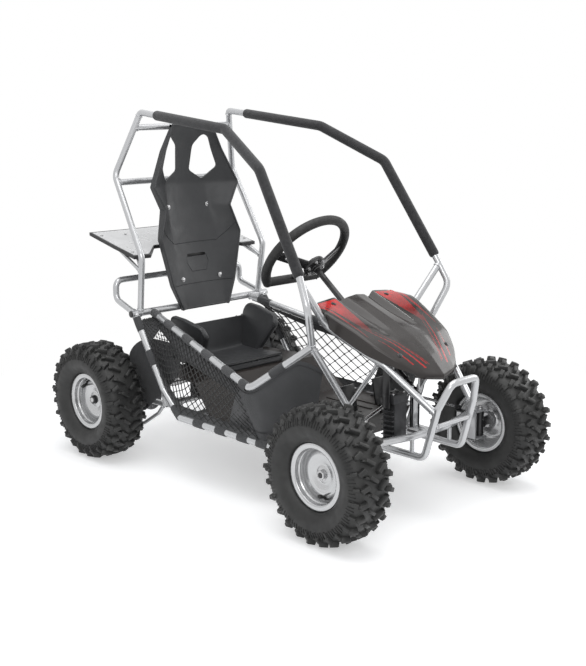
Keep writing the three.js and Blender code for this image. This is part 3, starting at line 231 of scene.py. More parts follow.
def bolt(bm, place, direction, size=0.012, index=0):
    """A washer and a six sided head."""
    direction = Vector(direction).normalized()
    place = Vector(place)
    disc(bm, size * 0.75, size * 0.14, place + direction * size * 0.07, direction, 20, 0.0003, index=index)
    disc(bm, size * 0.55, size * 0.5, place + direction * size * 0.35, direction, 6, 0.0005, index=index)


def bead(bm, place, direction, diameter, index=0):
    """A ring round a direction, as a weld leaves at the end of a tube."""
    old_faces = set(bm.faces)
    verts = bmesh.ops.create_circle(bm, segments=6, radius=BEAD_RADIUS)["verts"]
    bmesh.ops.rotate(bm, cent=(0, 0, 0), matrix=Matrix.Rotation(math.pi / 2, 3, "X"), verts=verts)
    bmesh.ops.translate(bm, vec=(diameter / 2, 0, 0), verts=verts)
    bmesh.ops.spin(bm, geom=verts + edges_of(verts), cent=(0, 0, 0), axis=(0, 0, 1), angle=2 * math.pi,
                   steps=24, use_merge=True)
    set_down(bm, old_faces, towards(direction), place, index)
    bmesh.ops.recalc_face_normals(bm, faces=fresh_faces(bm, old_faces, index))


def turned(bm, profile, place, steps=64, side=1, index=0, closed=True):
    """Spins a profile of (radius, distance outwards) about the Y axis through a place."""
    old_faces = set(bm.faces)
    verts = [bm.verts.new((radius, side * out, 0)) for radius, out in profile]
    edges = [bm.edges.new(pair) for pair in zip(verts, verts[1:])]
    if closed:
        edges.append(bm.edges.new((verts[-1], verts[0])))
    bmesh.ops.spin(bm, geom=verts + edges, cent=(0, 0, 0), axis=(0, 1, 0), angle=2 * math.pi, steps=steps,
                   use_merge=True)
    bmesh.ops.remove_doubles(bm, verts=verts_of(fresh_faces(bm, old_faces)), dist=1e-6)
    bmesh.ops.recalc_face_normals(bm, faces=fresh_faces(bm, old_faces))
    set_down(bm, old_faces, None, place, index)


def copied_up(bm, faces, move):
    """Gives an open sheet its depth, by moving a copy of its faces and walling the gap."""
    out = bmesh.ops.extrude_face_region(bm, geom=faces)
    bmesh.ops.translate(bm, vec=move, verts=[v for v in out["geom"] if isinstance(v, bmesh.types.BMVert)])


def plate(bm, outline, low, high, bevel=0.0007):
    """An outline in X and Z, given thickness from low to high along Y."""
    old_faces = set(bm.faces)
    start = bm.faces.new([bm.verts.new((x, low, z)) for x, z in outline])
    copied_up(bm, [start], (0, high - low, 0))
    fresh = fresh_faces(bm, old_faces)
    bmesh.ops.recalc_face_normals(bm, faces=fresh)
    rounded_off(bm, list({edge for face in fresh for edge in face.edges}), bevel)
    return verts_of(fresh_faces(bm, old_faces))


print("plate, bolt and turning helpers ready")

# %% [markdown]
# The finishes are all made from nodes. Each has its own scale of grain, some change of colour and
# roughness, and a bump, because a single flat colour looks like a toy. Patterns read Object coordinates,
# which are metres here.

# %% Finishes
def node(tree, kind, fed, **settings):
    """A new shader node. Each socket named in fed takes a value or another node's output."""
    made = tree.nodes.new("ShaderNode" + kind)
    for setting, value in settings.items():
        setattr(made, setting, value)
    feed(tree, made, fed)
    return made


def feed(tree, made, fed):
    """Gives a node's sockets a value each, or a link from another node."""
    for socket, value in fed.items():
        if isinstance(value, bpy.types.NodeSocket):
            tree.links.new(value, made.inputs[socket])
        else:
            made.inputs[socket].default_value = value


def finish_nodes(name):
    """A new material with its tree, its main shader and the object's coordinates."""
    made = bpy.data.materials.new(name)
    made.use_nodes = True
    tree = made.node_tree
    shader = tree.nodes["Principled BSDF"]
    coords = tree.nodes.new("ShaderNodeTexCoord")
    return made, tree, shader, coords.outputs["Object"]


def noise(tree, coords, scale, detail=4):
    """A cloudy value between 0 and 1."""
    return node(tree, "TexNoise", {"Scale": scale, "Detail": detail, "Vector": coords}).outputs["Fac"]


def ramp(tree, value, low, high, start=0.3, end=0.7):
    """Turns a value into a colour between low and high."""
    made = node(tree, "ValToRGB", {"Fac": value})
    for stop, position, colour in zip(made.color_ramp.elements, (start, end), (low, high)):
        stop.position = position
        stop.color = (*colour, 1)
    return made.outputs["Color"]


def spread(tree, value, low, high, start=0.3, end=0.7):
    """Turns a value into a number between low and high."""
    return node(tree, "MapRange", {"From Min": start, "From Max": end, "To Min": low, "To Max": high,
                                   "Value": value}).outputs["Result"]


def bump(tree, value, strength, depth):
    """Turns a value into a relief that only the light sees."""
    return node(tree, "Bump", {"Strength": strength, "Distance": depth, "Height": value}).outputs["Normal"]


def grained(name, low, high, rough, metallic, colour_scale, grain_scale, strength, depth, coat=0.0, sheen=0.0,
            specular=0.5):
    """A finish whose colour lies between low and high in large patches, with a fine grain on it."""
    made, tree, shader, coords = finish_nodes(name)
    feed(tree, shader, {
        "Base Color": ramp(tree, noise(tree, coords, colour_scale, 5), low, high),
        "Roughness": spread(tree, noise(tree, coords, colour_scale * 3, 3), *rough),
        "Normal": bump(tree, noise(tree, coords, grain_scale, 3), strength, depth),
        "Metallic": metallic, "Coat Weight": coat, "Sheen Weight": sheen, "Specular IOR Level": specular,
    })
    return made


silver_paint = grained("silver_paint", (0.50, 0.505, 0.515), (0.56, 0.565, 0.575), (0.20, 0.26), 0.62, 5, 90,
                       0.008, 0.0002, coat=0.2)
rim_paint = grained("rim_paint", (0.50, 0.505, 0.51), (0.56, 0.56, 0.565), (0.17, 0.23), 0.75, 6, 80,
                    0.008, 0.0002, coat=0.2)
black_foam = grained("black_foam", (0.010, 0.010, 0.011), (0.018, 0.018, 0.020), (0.72, 0.9), 0, 30, 1400,
                     0.5, 0.0007, sheen=0.25)
tyre_rubber = grained("tyre_rubber", (0.010, 0.010, 0.010), (0.024, 0.024, 0.023), (0.42, 0.62), 0, 16, 500,
                      0.18, 0.0005)
seat_plastic = grained("seat_plastic", (0.026, 0.027, 0.029), (0.036, 0.037, 0.039), (0.42, 0.55), 0, 12,
                       1500, 0.3, 0.0003)
grip_rubber = grained("grip_rubber", (0.012, 0.012, 0.012), (0.02, 0.02, 0.02), (0.5, 0.66), 0, 40, 1100,
                      0.25, 0.0003)
black_paint = grained("black_paint", (0.010, 0.010, 0.011), (0.018, 0.018, 0.019), (0.28, 0.45), 0.1, 25, 700,
                      0.1, 0.0003, coat=0.2)
dark_alloy = grained("dark_alloy", (0.035, 0.036, 0.038), (0.06, 0.06, 0.063), (0.4, 0.58), 0.6, 30, 900,
                     0.2, 0.0003)
bright_steel = grained("bright_steel", (0.46, 0.46, 0.465), (0.58, 0.58, 0.585), (0.2, 0.34), 1.0, 40, 300,
                       0.015, 0.0002)
chain_steel = grained("chain_steel", (0.10, 0.10, 0.105), (0.2, 0.2, 0.205), (0.35, 0.55), 0.9, 80, 500,
                      0.15, 0.0003)
battery_case = grained("battery_case", (0.012, 0.012, 0.013), (0.02, 0.02, 0.021), (0.5, 0.65), 0, 15, 900,
                       0.3, 0.0004)
tray_plastic = grained("tray_plastic", (0.010, 0.008, 0.007), (0.022, 0.017, 0.015), (0.30, 0.48), 0, 6, 350,
                       0.12, 0.0006, specular=0.3)
net_cord = grained("net_cord", (0.008, 0.008, 0.008), (0.018, 0.018, 0.018), (0.6, 0.8), 0, 60, 1800,
                   0.6, 0.0004, sheen=0.2)
cable_black = grained("cable_black", (0.010, 0.010, 0.010), (0.018, 0.018, 0.018), (0.4, 0.5), 0, 60, 800,
                      0.1, 0.0002)
print("plain finishes:", len(bpy.data.materials))

# %% [markdown]
# Some finishes need a pattern. Vinyl has a fine woven backing that shows through, so two wave textures
# cross each other. The hood's stripes are slanting wedges: each is a band between two straight lines
# across the hood, drawn with plain arithmetic on the coordinates, and the same on both sides because it
# reads the distance from the middle.

# %% Patterned finishes
def sums(tree, operation, *values):
    """One sum on numbers or on the outputs of other nodes."""
    return node(tree, "Math", dict(enumerate(values)), operation=operation).outputs["Value"]


def wave(tree, coords, scale, direction):
    """Fine bands across one direction."""
    return node(tree, "TexWave", {"Scale": scale, "Distortion": 0.6, "Detail": 1, "Vector": coords},
                bands_direction=direction).outputs["Fac"]


def woven(name, low, high, scale, rough, strength):
    """Cloth with a weave of two crossing waves."""
    made, tree, shader, coords = finish_nodes(name)
    weave = sums(tree, "ADD", wave(tree, coords, scale, "X"), wave(tree, coords, scale, "Z"))
    feed(tree, shader, {
        "Base Color": ramp(tree, noise(tree, coords, 11, 6), low, high),
        "Roughness": spread(tree, noise(tree, coords, 30, 3), *rough),
        "Normal": bump(tree, weave, strength, 0.0004),
        "Sheen Weight": 0.15,
    })
    return made


vinyl = woven("vinyl", (0.030, 0.031, 0.033), (0.048, 0.049, 0.052), 420, (0.5, 0.66), 0.35)
strap_vinyl = woven("strap_vinyl", (0.028, 0.029, 0.031), (0.05, 0.051, 0.054), 300, (0.55, 0.72), 0.6)

WEDGES = (
    # start, end, middle at the start and at the end, half width at both, strength at both
    (0.290, 0.452, 0.122, 0.112, 0.040, 0.006, 0.95, 0.10),
    (0.298, 0.470, 0.166, 0.142, 0.007, 0.001, 0.70, 0.25),
    (0.430, 0.590, 0.128, 0.046, 0.0010, 0.0030, 0.35, 0.85),
    (0.452, 0.582, 0.104, 0.034, 0.0006, 0.0016, 0.30, 0.75),
    (0.486, 0.574, 0.122, 0.078, 0.0008, 0.0024, 0.30, 0.70),
    (0.500, 0.586, 0.074, 0.026, 0.0005, 0.0012, 0.20, 0.60),
)
HATCH_LINES = 210.0
HATCH_SLANT = 0.11


def hood_finish():
    """Glossy plastic with the wedges, their hatching and patches of wear on them."""
    made, tree, shader, coords = finish_nodes("hood_gloss")
    split = node(tree, "SeparateXYZ", {"Vector": coords})
    forward = split.outputs["X"]
    out = sums(tree, "ABSOLUTE", split.outputs["Y"])
    stripes = None
    for start, end, middle_a, middle_b, half_a, half_b, strong_a, strong_b in WEDGES:
        along = sums(tree, "DIVIDE", sums(tree, "SUBTRACT", forward, start), end - start)
        middle = sums(tree, "MULTIPLY_ADD", along, middle_b - middle_a, middle_a)
        half = sums(tree, "MULTIPLY_ADD", along, half_b - half_a, half_a)
        inside = sums(tree, "LESS_THAN", sums(tree, "ABSOLUTE", sums(tree, "SUBTRACT", out, middle)), half)
        inside = sums(tree, "MULTIPLY", inside, sums(tree, "GREATER_THAN", along, 0.0))
        inside = sums(tree, "MULTIPLY", inside, sums(tree, "LESS_THAN", along, 1.0))
        strong = sums(tree, "MULTIPLY_ADD", along, strong_b - strong_a, strong_a)
        inside = sums(tree, "MULTIPLY", inside, strong)
        stripes = inside if stripes is None else sums(tree, "MAXIMUM", stripes, inside)
    slant = sums(tree, "MULTIPLY_ADD", forward, HATCH_SLANT, out)
    hatch = sums(tree, "FRACT", sums(tree, "MULTIPLY", slant, HATCH_LINES))
    lines = spread(tree, hatch, 0.30, 1.0, 0.25, 0.34)
    worn = spread(tree, noise(tree, coords, 38, 4), 0.6, 1.0)
    mask = sums(tree, "MULTIPLY", sums(tree, "MULTIPLY", stripes, lines), worn)
    ground = ramp(tree, noise(tree, coords, 7, 4), (0.020, 0.0165, 0.0150), (0.032, 0.027, 0.025))
    red = ramp(tree, noise(tree, coords, 30, 4), (0.70, 0.001, 0.002), (0.95, 0.006, 0.006))
    mix = node(tree, "Mix", {}, data_type="RGBA")
    feed(tree, mix, {"Factor": mask, 6: ground, 7: red})
    feed(tree, shader, {
        "Base Color": mix.outputs[2],
        "Roughness": spread(tree, noise(tree, coords, 25, 3), 0.16, 0.26),
        "Normal": bump(tree, noise(tree, coords, 120, 3), 0.04, 0.0005),
        "Specular IOR Level": 0.32, "Coat Weight": 0.2, "Coat Roughness": 0.04,
    })
    return made


hood_gloss = hood_finish()
# Pale grey for the thin lines along the hood's creases: a painted highlight where the rounded edges catch the
# light.
painted_crease_highlight = grained("painted_crease_highlight", (0.42, 0.43, 0.42), (0.60, 0.60, 0.58), (0.3, 0.45), 0, 40, 500,
                    0.05, 0.0003)
cowl_silver = grained("cowl_silver", (0.58, 0.585, 0.59), (0.70, 0.70, 0.705), (0.24, 0.38), 0.3, 8, 600,
                      0.05, 0.0003, coat=0.4)
cowl_black = grained("cowl_black", (0.012, 0.012, 0.013), (0.022, 0.022, 0.023), (0.4, 0.55), 0, 14, 900,
                     0.25, 0.0003)
print("patterned finishes added, now", len(bpy.data.materials))

# %% [markdown]
# The camera comes early, so that every look at the scene can be held against the picture. It stands at
# the kart's front right, a little above it. The floor is pale, and it shows white to the camera but still
# takes a soft shadow.

# %% Camera, floor and lights
SENSOR = 36
FOCAL_SHARE = 1124.6 / 666
CAMERA_PLACE = (2.4478, -2.3173, 1.1456)
CAMERA_TURNS = (46.203, 12.039, -0.370)


def make_camera():
    """Looks down its own back line. The three turns are heading, tilt and roll in degrees."""
    data = bpy.data.cameras.new("camera")
    data.lens = FOCAL_SHARE * SENSOR
    data.sensor_width = SENSOR
    data.clip_end = 50
    eye = bpy.data.objects.new("camera", data)
    bpy.context.scene.collection.objects.link(eye)
    turn, tilt, roll = [math.radians(angle) for angle in CAMERA_TURNS]
    back = Vector((math.sin(turn) * math.cos(tilt), -math.cos(turn) * math.cos(tilt), math.sin(tilt)))
    right = Vector((0, 0, 1)).cross(back).normalized()
    up = back.cross(right)
    turned_right = right * math.cos(roll) + up * math.sin(roll)
    turned_up = -right * math.sin(roll) + up * math.cos(roll)
    facing = Matrix((turned_right, turned_up, back)).transposed().to_4x4()
    eye.matrix_world = Matrix.Translation(CAMERA_PLACE) @ facing
    bpy.context.scene.camera = eye


def straight_or_glossy(tree):
    """One for a ray from the camera or from a glossy surface, and zero for any other."""
    path = node(tree, "LightPath", {})
    return sums(tree, "MAXIMUM", path.outputs["Is Camera Ray"], path.outputs["Is Glossy Ray"])


def floor_finish():
    """Matte and a little bright near the kart, and plain white further off."""
    made = bpy.data.materials.new("pale_floor")
    made.use_nodes = True
    tree = made.node_tree
    tree.nodes.clear()
    seen = straight_or_glossy(tree)
    matte = node(tree, "BsdfDiffuse", {"Color": (0.84, 0.84, 0.84, 1)})
    glow = node(tree, "Emission", {"Strength": sums(tree, "MULTIPLY", seen, 0.42)})
    both = node(tree, "AddShader", {0: matte.outputs[0], 1: glow.outputs[0]})
    place = node(tree, "TexCoord", {})
    reach = node(tree, "VectorMath", {0: place.outputs["Object"]}, operation="LENGTH")
    far = spread(tree, reach.outputs["Value"], 0, 1, 0.95, 1.7)
    white = node(tree, "Emission", {})
    share = sums(tree, "MULTIPLY", far, seen)
    fade = node(tree, "MixShader", {"Fac": share, 1: both.outputs[0], 2: white.outputs[0]})
    node(tree, "OutputMaterial", {"Surface": fade.outputs[0]})
    return made


def make_floor():
    """A wide floor that belongs to the picture and not to the kart."""
    bm = bmesh.new()
    bmesh.ops.create_grid(bm, x_segments=2, y_segments=2, size=30)
    mesh = bpy.data.meshes.new("floor")
    bm.to_mesh(mesh)
    bm.free()
    floor = bpy.data.objects.new("floor", mesh)
    floor.location.z = -0.0005  # a hair below the tyres, so that the two don't share a plane
    bpy.context.scene.collection.objects.link(floor)
    mesh.materials.append(floor_finish())


def make_sky():
    """Even room light, which a camera or glossy ray sees as white."""
    sky = bpy.data.worlds.new("soft_sky")
    bpy.context.scene.world = sky
    sky.use_nodes = True
    tree = sky.node_tree
    tree.nodes.clear()
    room = node(tree, "Background", {"Color": (0.9, 0.92, 0.95, 1), "Strength": 0.55})
    white = node(tree, "Background", {"Color": (1, 1, 1, 1)})
    mix = node(tree, "MixShader", {"Fac": straight_or_glossy(tree), 1: room.outputs[0], 2: white.outputs[0]})
    node(tree, "OutputWorld", {"Surface": mix.outputs[0]})


def soft_box(name, place, aim, size, power):
    """A large lamp at a place, aimed at another."""
    data = bpy.data.lights.new(name, "AREA")
    data.shape = "RECTANGLE"
    data.size, data.size_y = size
    data.energy = power
    lamp = bpy.data.objects.new(name, data)
    lamp.location = place
    lamp.rotation_mode = "QUATERNION"
    lamp.rotation_quaternion = (Vector(aim) - Vector(place)).to_track_quat("-Z", "Y")
    bpy.context.scene.collection.objects.link(lamp)


make_camera()
make_floor()
make_sky()
soft_box("overhead", (0.3, -0.2, 3.2), (0, 0, 0.3), (3.2, 3.2), 62)
soft_box("front_right", (2.6, -2.8, 2.2), (0, 0, 0.5), (2.0, 1.6), 34)
soft_box("left_side", (0.8, 3.0, 1.8), (0, 0, 0.5), (1.8, 1.4), 22)
bpy.context.scene.view_settings.view_transform = "Standard"
print("camera lens", round(bpy.context.scene.camera.data.lens, 2))

# %% [markdown]
# The cage is welded steel tube. Its corners are written as shares of half the wheelbase, half the track
# and the cage's height, the same way as the plain frame was laid out, so each smooth tube falls exactly
# on the plain one. A real builder would bend each long tube on a former, cope its ends and weld it, which
# leaves a bead at each joint.

# %% Cage tubes
HOOP = [(-0.897, 0.522, 0.991), (-1.014, 0.703, 0.814), (-0.738, 0.732, 0.59), (-0.786, 0.718, 0.427)]
ROOF = [(-0.897, 0.522, 0.991), (-0.083, 0.559, 0.951), (0.326, 0.732, 0.859),
        (0.682, 0.81, 0.608), (0.763, 0.847, 0.538), (0.697, 0.703, 0.4345)]
DASH = [(0.6695, 0.5072, 0.4764), (1.005, 0.3804, 0.3963), (1.262, 0.228, 0.291)]
RAIL = [(-0.786, 0.589, 0.427), (0.369, 0.922, 0.3145), (0.697, 0.703, 0.4345)]
STRUT = [(0.697, 0.703, 0.4345), (0.792, 0.447, 0.276), (0.768, 0.323, 0.171)]
SIDE = [(-0.786, 0.778, 0.427), (-0.501, 0.798, 0.2255), (-0.291, 0.8645, 0.171),
        (0.476, 0.8645, 0.171), (0.583, 0.576, 0.171), (0.832, 0.236, 0.171)]
BUMPER = [(0.832, 0.236, 0.171), (1.198, 0.2305, 0.171), (1.278, 0.222, 0.3), (1.326, 0.15, 0.364)]
LOOP = [(-0.786, 0.778, 0.427), (-1, 0.755, 0.456), (-1, 0.755, 0.511)]
ARM = [(-0.501, 0.798, 0.2255), (-0.583, 0.686, 0.171), (-0.925, 0.686, 0.17)]
GUARD = [(-0.6, 0.686, 0.171), (-0.662, 0.686, 0.138), (-0.82, 0.686, 0.092), (-1.06, 0.686, 0.098),
         (-1.08, 0.686, 0.15)]
SIDES = (("right", -1), ("left", 1))


def mirrored(rows):
    """One line over both sides, from the right end to the left end."""
    return share_line(rows, -1) + share_line(rows, 1)[::-1]


def dash_line(side):
    """The dash tube's points, from the roof bar down to the front."""
    roof = share_line(ROOF, side)
    return [roof[3].lerp(roof[4], 0.26), *share_line(DASH, side)]


def along_run(line, i, share):
    """A place on the run between point i and the next point of a line."""
    return line[i].lerp(line[i + 1], share)


def welded(bm, place, along, diameter):
    """A weld bead round a tube of a diameter."""
    bead(bm, Vector(place), along, diameter + 0.0012)


def welded_end(bm, end, inside, gap, diameter):
    """A bead round a tube, a gap away from its end."""
    run = inside - end
    welded(bm, end + run.normalized() * gap, run, diameter)


def cross_tube(bm, ends, diameter, gap, **shape):
    """A tube from side to side, with a bead at both ends."""
    sweep(bm, ends, diameter, **shape)
    for end, inward in zip(ends, (across, -across)):
        welded(bm, end + inward * gap, inward, diameter)


top_bar = [along_run(share_line(HOOP, side), 0, 0.24) for side in (-1, 1)]
middle_bar = [along_run(share_line(HOOP, side), 1, 0.09) for side in (-1, 1)]
across = Vector((0, 1, 0))
bm_hoop = bmesh.new()
for label, side in SIDES:
    upright = rounded(share_line(HOOP, side)[::-1], BEND)
    roof = rounded(share_line(ROOF, side), BEND)
    corner = rounded([upright[-2], upright[-1], roof[1]], 0.014)[1:-1]
    sweep(bm_hoop, upright[:-1] + corner[:5], CAGE_TUBE, 0)
    bm = bmesh.new()
    sweep(bm, corner[4:] + roof[1:], CAGE_TUBE, 0)
    welded(bm_hoop, corner[0], upright[-1] - upright[-2], CAGE_TUBE)
    foot = share_line(ROOF, side)
    welded_end(bm, foot[5], foot[4], 0.011, CAGE_TUBE)
    piece("roof_bar_tube_" + label, bm, silver_paint, "chassis", ["roof_bar_" + label])
for bar in (top_bar, middle_bar):
    cross_tube(bm_hoop, bar, CAGE_TUBE, 0.0102)
print("cage tubes:", len(bm_hoop.faces), "faces on the hoop so far")

# %% [markdown]
# Two pairs of flat straps hold the seat back, and thin stays hold the rear cowl. They belong to the hoop
# and to the low loop behind the seat. The straps lean with the seat, so their line is read off the seat's
# own rows.

# %% Hoop, straps and rear loop
STRAP_OUT = 0.076
STRAP_DEPTH = 0.004
STRAP_WIDTH = 0.020
SEAT_BACK = 0.0053  # from the seat's front face to its rear face, with a hair of room
COWL_FRONT = Vector((-0.421, 0.2286, 0.644))
COWL_LENGTH = 0.25
COWL_RISE = 0.054
SEAT_HEIGHT = 0.58903
SEAT_TOP = top_bar[0].z + 0.007
SEAT_FRONT = top_bar[0].x + 0.0153
SEAT_ROWS = [
    # height, centre forward of the top, wing forward of the centre, half width of the crease and of the wing
    (0, 0.14, 0.004, 0.136, 0.161), (0.136, 0.1115, 0.02, 0.149, 0.219),
    (0.397, 0.045, 0.071, 0.156, 0.28), (0.55, -0.003, 0.097, 0.148, 0.226),
    (0.674, -0.034, 0.12, 0.136, 0.295), (0.86, -0.022, 0.076, 0.105, 0.204),
    (0.985, 0, 0.06, 0.093, 0.139), (1, 0, 0.06, 0.093, 0.139),
]


def seat_rear(height):
    """How far forward the seat's rear face is at a height."""
    rows = [(SEAT_TOP + (row[0] - 1) * SEAT_HEIGHT, SEAT_FRONT + row[1] * SEAT_HEIGHT) for row in SEAT_ROWS]
    for (low, a), (high, b) in zip(rows, rows[1:]):
        if high >= height:
            return a + (b - a) * (height - low) / (high - low) - SEAT_BACK
    return rows[-1][1] - SEAT_BACK


def strap(bm, outline, middle):
    """A flat strap over an outline in X and Z."""
    plate(bm, outline, middle - STRAP_WIDTH / 2, middle + STRAP_WIDTH / 2, bevel=0.0006)


loop = mirrored(LOOP)
bm_loop = bmesh.new()
sweep(bm_loop, loop, CAGE_TUBE, TIGHT_BEND)
for side in (-1, 1):
    top = middle_bar[0]
    heights = [top.z - 0.1 * i / 8 for i in range(9)]
    front = [(seat_rear(z), z) for z in heights]
    back = [(x - STRAP_DEPTH, z) for x, z in front[:0:-1]]
    strap(bm_hoop, [(top.x, top.z), *front, *back], side * STRAP_OUT)
    screw = top.z - 0.085
    bolt(bm_hoop, (seat_rear(screw) - STRAP_DEPTH, side * STRAP_OUT, screw), (-1, 0, 0.15), 0.010)
    low = loop[2]
    upper, lower = seat_rear(low.z), seat_rear(low.z - 0.020)
    front = [(low.x, low.z), (upper, low.z), (lower, low.z - 0.020)]
    back = [(lower - STRAP_DEPTH, low.z - 0.020), (upper - STRAP_DEPTH, low.z - STRAP_DEPTH),
            (low.x, low.z - STRAP_DEPTH)]
    strap(bm_loop, front + back, side * STRAP_OUT)
    hoop = share_line(HOOP, side)
    foot = along_run(hoop, 2, 0.27)
    front = Vector((COWL_FRONT.x, side * COWL_FRONT.y, COWL_FRONT.z))
    rear = front + Vector((-COWL_LENGTH, 0, COWL_RISE))
    for end in (front - Vector((0.018, 0, 0)), front.lerp(rear, 0.6)):
        sweep(bm_hoop, [foot, end], SLIM_TUBE, roundness=5)
        welded_end(bm_hoop, foot, end, 0.011, SLIM_TUBE)
    welded_end(bm_hoop, hoop[3], hoop[2], 0.012, CAGE_TUBE)
    end, inside = (loop[0], loop[1]) if side < 0 else (loop[5], loop[4])
    welded_end(bm_loop, end, inside, 0.012, CAGE_TUBE)
piece("main_hoop_tube", bm_hoop, silver_paint, "chassis", ["main_hoop"])
piece("rear_loop_tube", bm_loop, silver_paint, "chassis", ["rear_loop"])

bm = bmesh.new()
crossbar = [share_point((-0.786, 0.821, 0.427), side) for side in (-1, 1)]
sweep(bm, crossbar, CHASSIS_TUBE)
for end, outward in zip(crossbar, (-across, across)):
    disc(bm, 0.0104, 0.004, end + outward * 0.0005, outward, 32, 0.0012, index=1)
    welded(bm, end - outward * 0.034, outward, CHASSIS_TUBE)
piece("crossbar_tube", bm, [silver_paint, black_paint], "chassis", ["rear_crossbar"])
print("hoop, loop and crossbar done")

# %% [markdown]
# The chassis is a flat loop of slightly thicker tube round the floor, with rails at the driver's sides
# and struts at the front. The floor bars have flattened ends in a real kart. Here they simply end inside
# the side tubes.

# %% Chassis tubes
for label, side in SIDES:
    rail, frame_line, strut = share_line(RAIL, side), share_line(SIDE, side), share_line(STRUT, side)
    bm = bmesh.new()
    sweep(bm, rail, CHASSIS_TUBE)
    welded_end(bm, rail[0], rail[1], 0.012, CHASSIS_TUBE)
    piece("side_rail_tube_" + label, bm, silver_paint, "chassis", ["side_rail_" + label])
    bm = bmesh.new()
    sweep(bm, frame_line, CHASSIS_TUBE, TIGHT_BEND)
    welded_end(bm, frame_line[0], frame_line[1], 0.013, CHASSIS_TUBE)
    welded_end(bm, frame_line[5], frame_line[4], 0.013, CHASSIS_TUBE)
    piece("side_frame_tube_" + label, bm, silver_paint, "chassis", ["side_frame_" + label])
    bm = bmesh.new()
    sweep(bm, strut, CAGE_TUBE)
    brace = [along_run(dash_line(side), 1, 0.92), strut[1]]
    sweep(bm, brace, SLIM_TUBE, roundness=5)
    welded_end(bm, *brace, 0.011, SLIM_TUBE)
    welded_end(bm, strut[0], strut[1], 0.012, CAGE_TUBE)
    welded_end(bm, strut[2], strut[1], 0.012, CAGE_TUBE)
    piece("front_strut_tube_" + label, bm, silver_paint, "chassis", ["front_strut_" + label])
for label, forward in (("rear", -0.272), ("front", 0.35)):
    bm = bmesh.new()
    cross_tube(bm, [share_point((forward, 0.8645, 0.171), side) for side in (-1, 1)], CHASSIS_TUBE, 0.0112)
    piece("floor_bar_tube_" + label, bm, silver_paint, "chassis", ["floor_bar_" + label])

CONTROLLER = Vector((0.524, -0.0971, 0.292))
COLUMN_TOP = Vector((0.171 * HALF_BASE, 0, 0.6145 * CAGE_HEIGHT))
COLUMN_ANGLE = math.radians(38.2)
COLUMN_HEADING = Vector((math.cos(COLUMN_ANGLE), 0, -math.sin(COLUMN_ANGLE)))


def column_point(reach):
    """A place on the column's axis, at a distance from its top."""
    return COLUMN_TOP + COLUMN_HEADING * reach


def post(bm, x, y, size, low, high, index=0):
    """A standing bar of a size in X and Y, from one height to another."""
    block(bm, (*size, high - low), (x, y, (high + low) / 2), index=index)


bm = bmesh.new()
dash_bar = [along_run(dash_line(side), 1, 0.6) for side in (-1, 1)]
cross_tube(bm, dash_bar, CAGE_TUBE, 0.0105)
for side in (-1, 1):
    dash = dash_line(side)
    sweep(bm, dash, CAGE_TUBE)
    welded_end(bm, dash[0], dash[1], 0.010, CAGE_TUBE)
    welded_end(bm, dash[3], dash[2], 0.010, CAGE_TUBE)
centre = dash_bar[0].lerp(dash_bar[1], 0.5)
column_there = column_point((centre.x - COLUMN_TOP.x) / COLUMN_HEADING.x).z
for side in (-1, 1):
    post(bm, centre.x, side * 0.01425, (0.006, 0.0075), column_there - 0.018, centre.z)
block(bm, (0.006, 0.036, 0.006), (centre.x, 0, column_there - 0.0165))
front_run = dash_line(-1)[2:]
hang = along_run(front_run, 0, (CONTROLLER.x - front_run[0].x) / (front_run[1].x - front_run[0].x))
post(bm, CONTROLLER.x, hang.y, (0.024, 0.004), CONTROLLER.z + 0.0264, hang.z, index=1)
piece("dash_frame_tube", bm, [silver_paint, black_paint], "chassis", ["dash_frame"])

bm = bmesh.new()
sweep(bm, mirrored(BUMPER), CAGE_TUBE, TIGHT_BEND)
inner_bar = [share_point((1.262, 0.219, 0.255), side) for side in (-1, 1)]
cross_tube(bm, inner_bar, SLIM_TUBE, 0.0102, roundness=5)
piece("bumper_tube", bm, silver_paint, "chassis", ["bumper"])
print("chassis tubes done")

# %% [markdown]
# The front beam ends in two forks that hold the kingpins. At the back, two short arms carry plates for
# the axle's bearings, and a thin rod bends below each one as a guard. The motor sits on a small cradle
# off the same frame.

# %% Front beam and rear subframe
WHEEL_HEIGHT = 0.187
KINGPIN_OUT = 0.300
KINGPIN_HALF = 0.0383
FORK_IN, FORK_OUT = 0.2556, 0.312
BRAKE_Y = -0.150
beam = [share_point((1.004, 0.798, 0.213), -1), share_point((1.117, 0.216, 0.2175), -1),
        share_point((1.117, 0.216, 0.2175), 1), share_point((1.004, 0.798, 0.213), 1)]
bm = bmesh.new()
sweep(bm, beam, CAGE_TUBE)
for side in (-1, 1):
    for end in (1, -1):
        jaw = Vector((HALF_BASE, side * (FORK_IN + FORK_OUT) / 2, WHEEL_HEIGHT))
        jaw.z += end * (KINGPIN_HALF + 0.003)
        block(bm, (0.036, FORK_OUT - FORK_IN, 0.006), jaw, bevel=0.0014)
        bolt(bm, (HALF_BASE, side * KINGPIN_OUT, jaw.z + end * 0.003), (0, 0, end), 0.013, index=1)
    cheek = (HALF_BASE, side * (FORK_IN + 0.003), WHEEL_HEIGHT + 0.007)
    block(bm, (0.036, 0.006, 2 * KINGPIN_HALF + 0.026), cheek, bevel=0.0012)
    welded(bm, (HALF_BASE + 0.001, side * (FORK_IN - 0.001), beam[0].z), across, CAGE_TUBE)
    foot = along_run(share_line(BUMPER, side), 0, 0.8)
    sweep(bm, [(beam[1].x, foot.y, foot.z + 0.009), (beam[1].x, foot.y, beam[1].z)], SLIM_TUBE, roundness=5)
stop = column_point(0.560 - 0.016)
for side in (-1, 1):
    post(bm, stop.x, side * 0.01375, (0.006, 0.0085), beam[1].z, stop.z + 0.018)
post(bm, stop.x, 0, (0.006, 0.036), beam[1].z, stop.z - 0.012)
block(bm, (beam[1].x - stop.x, 0.036, 0.006), ((stop.x + beam[1].x) / 2, 0, beam[1].z), bevel=0.001)
piece("front_beam_tube", bm, [silver_paint, bright_steel], "chassis", ["front_beam"])

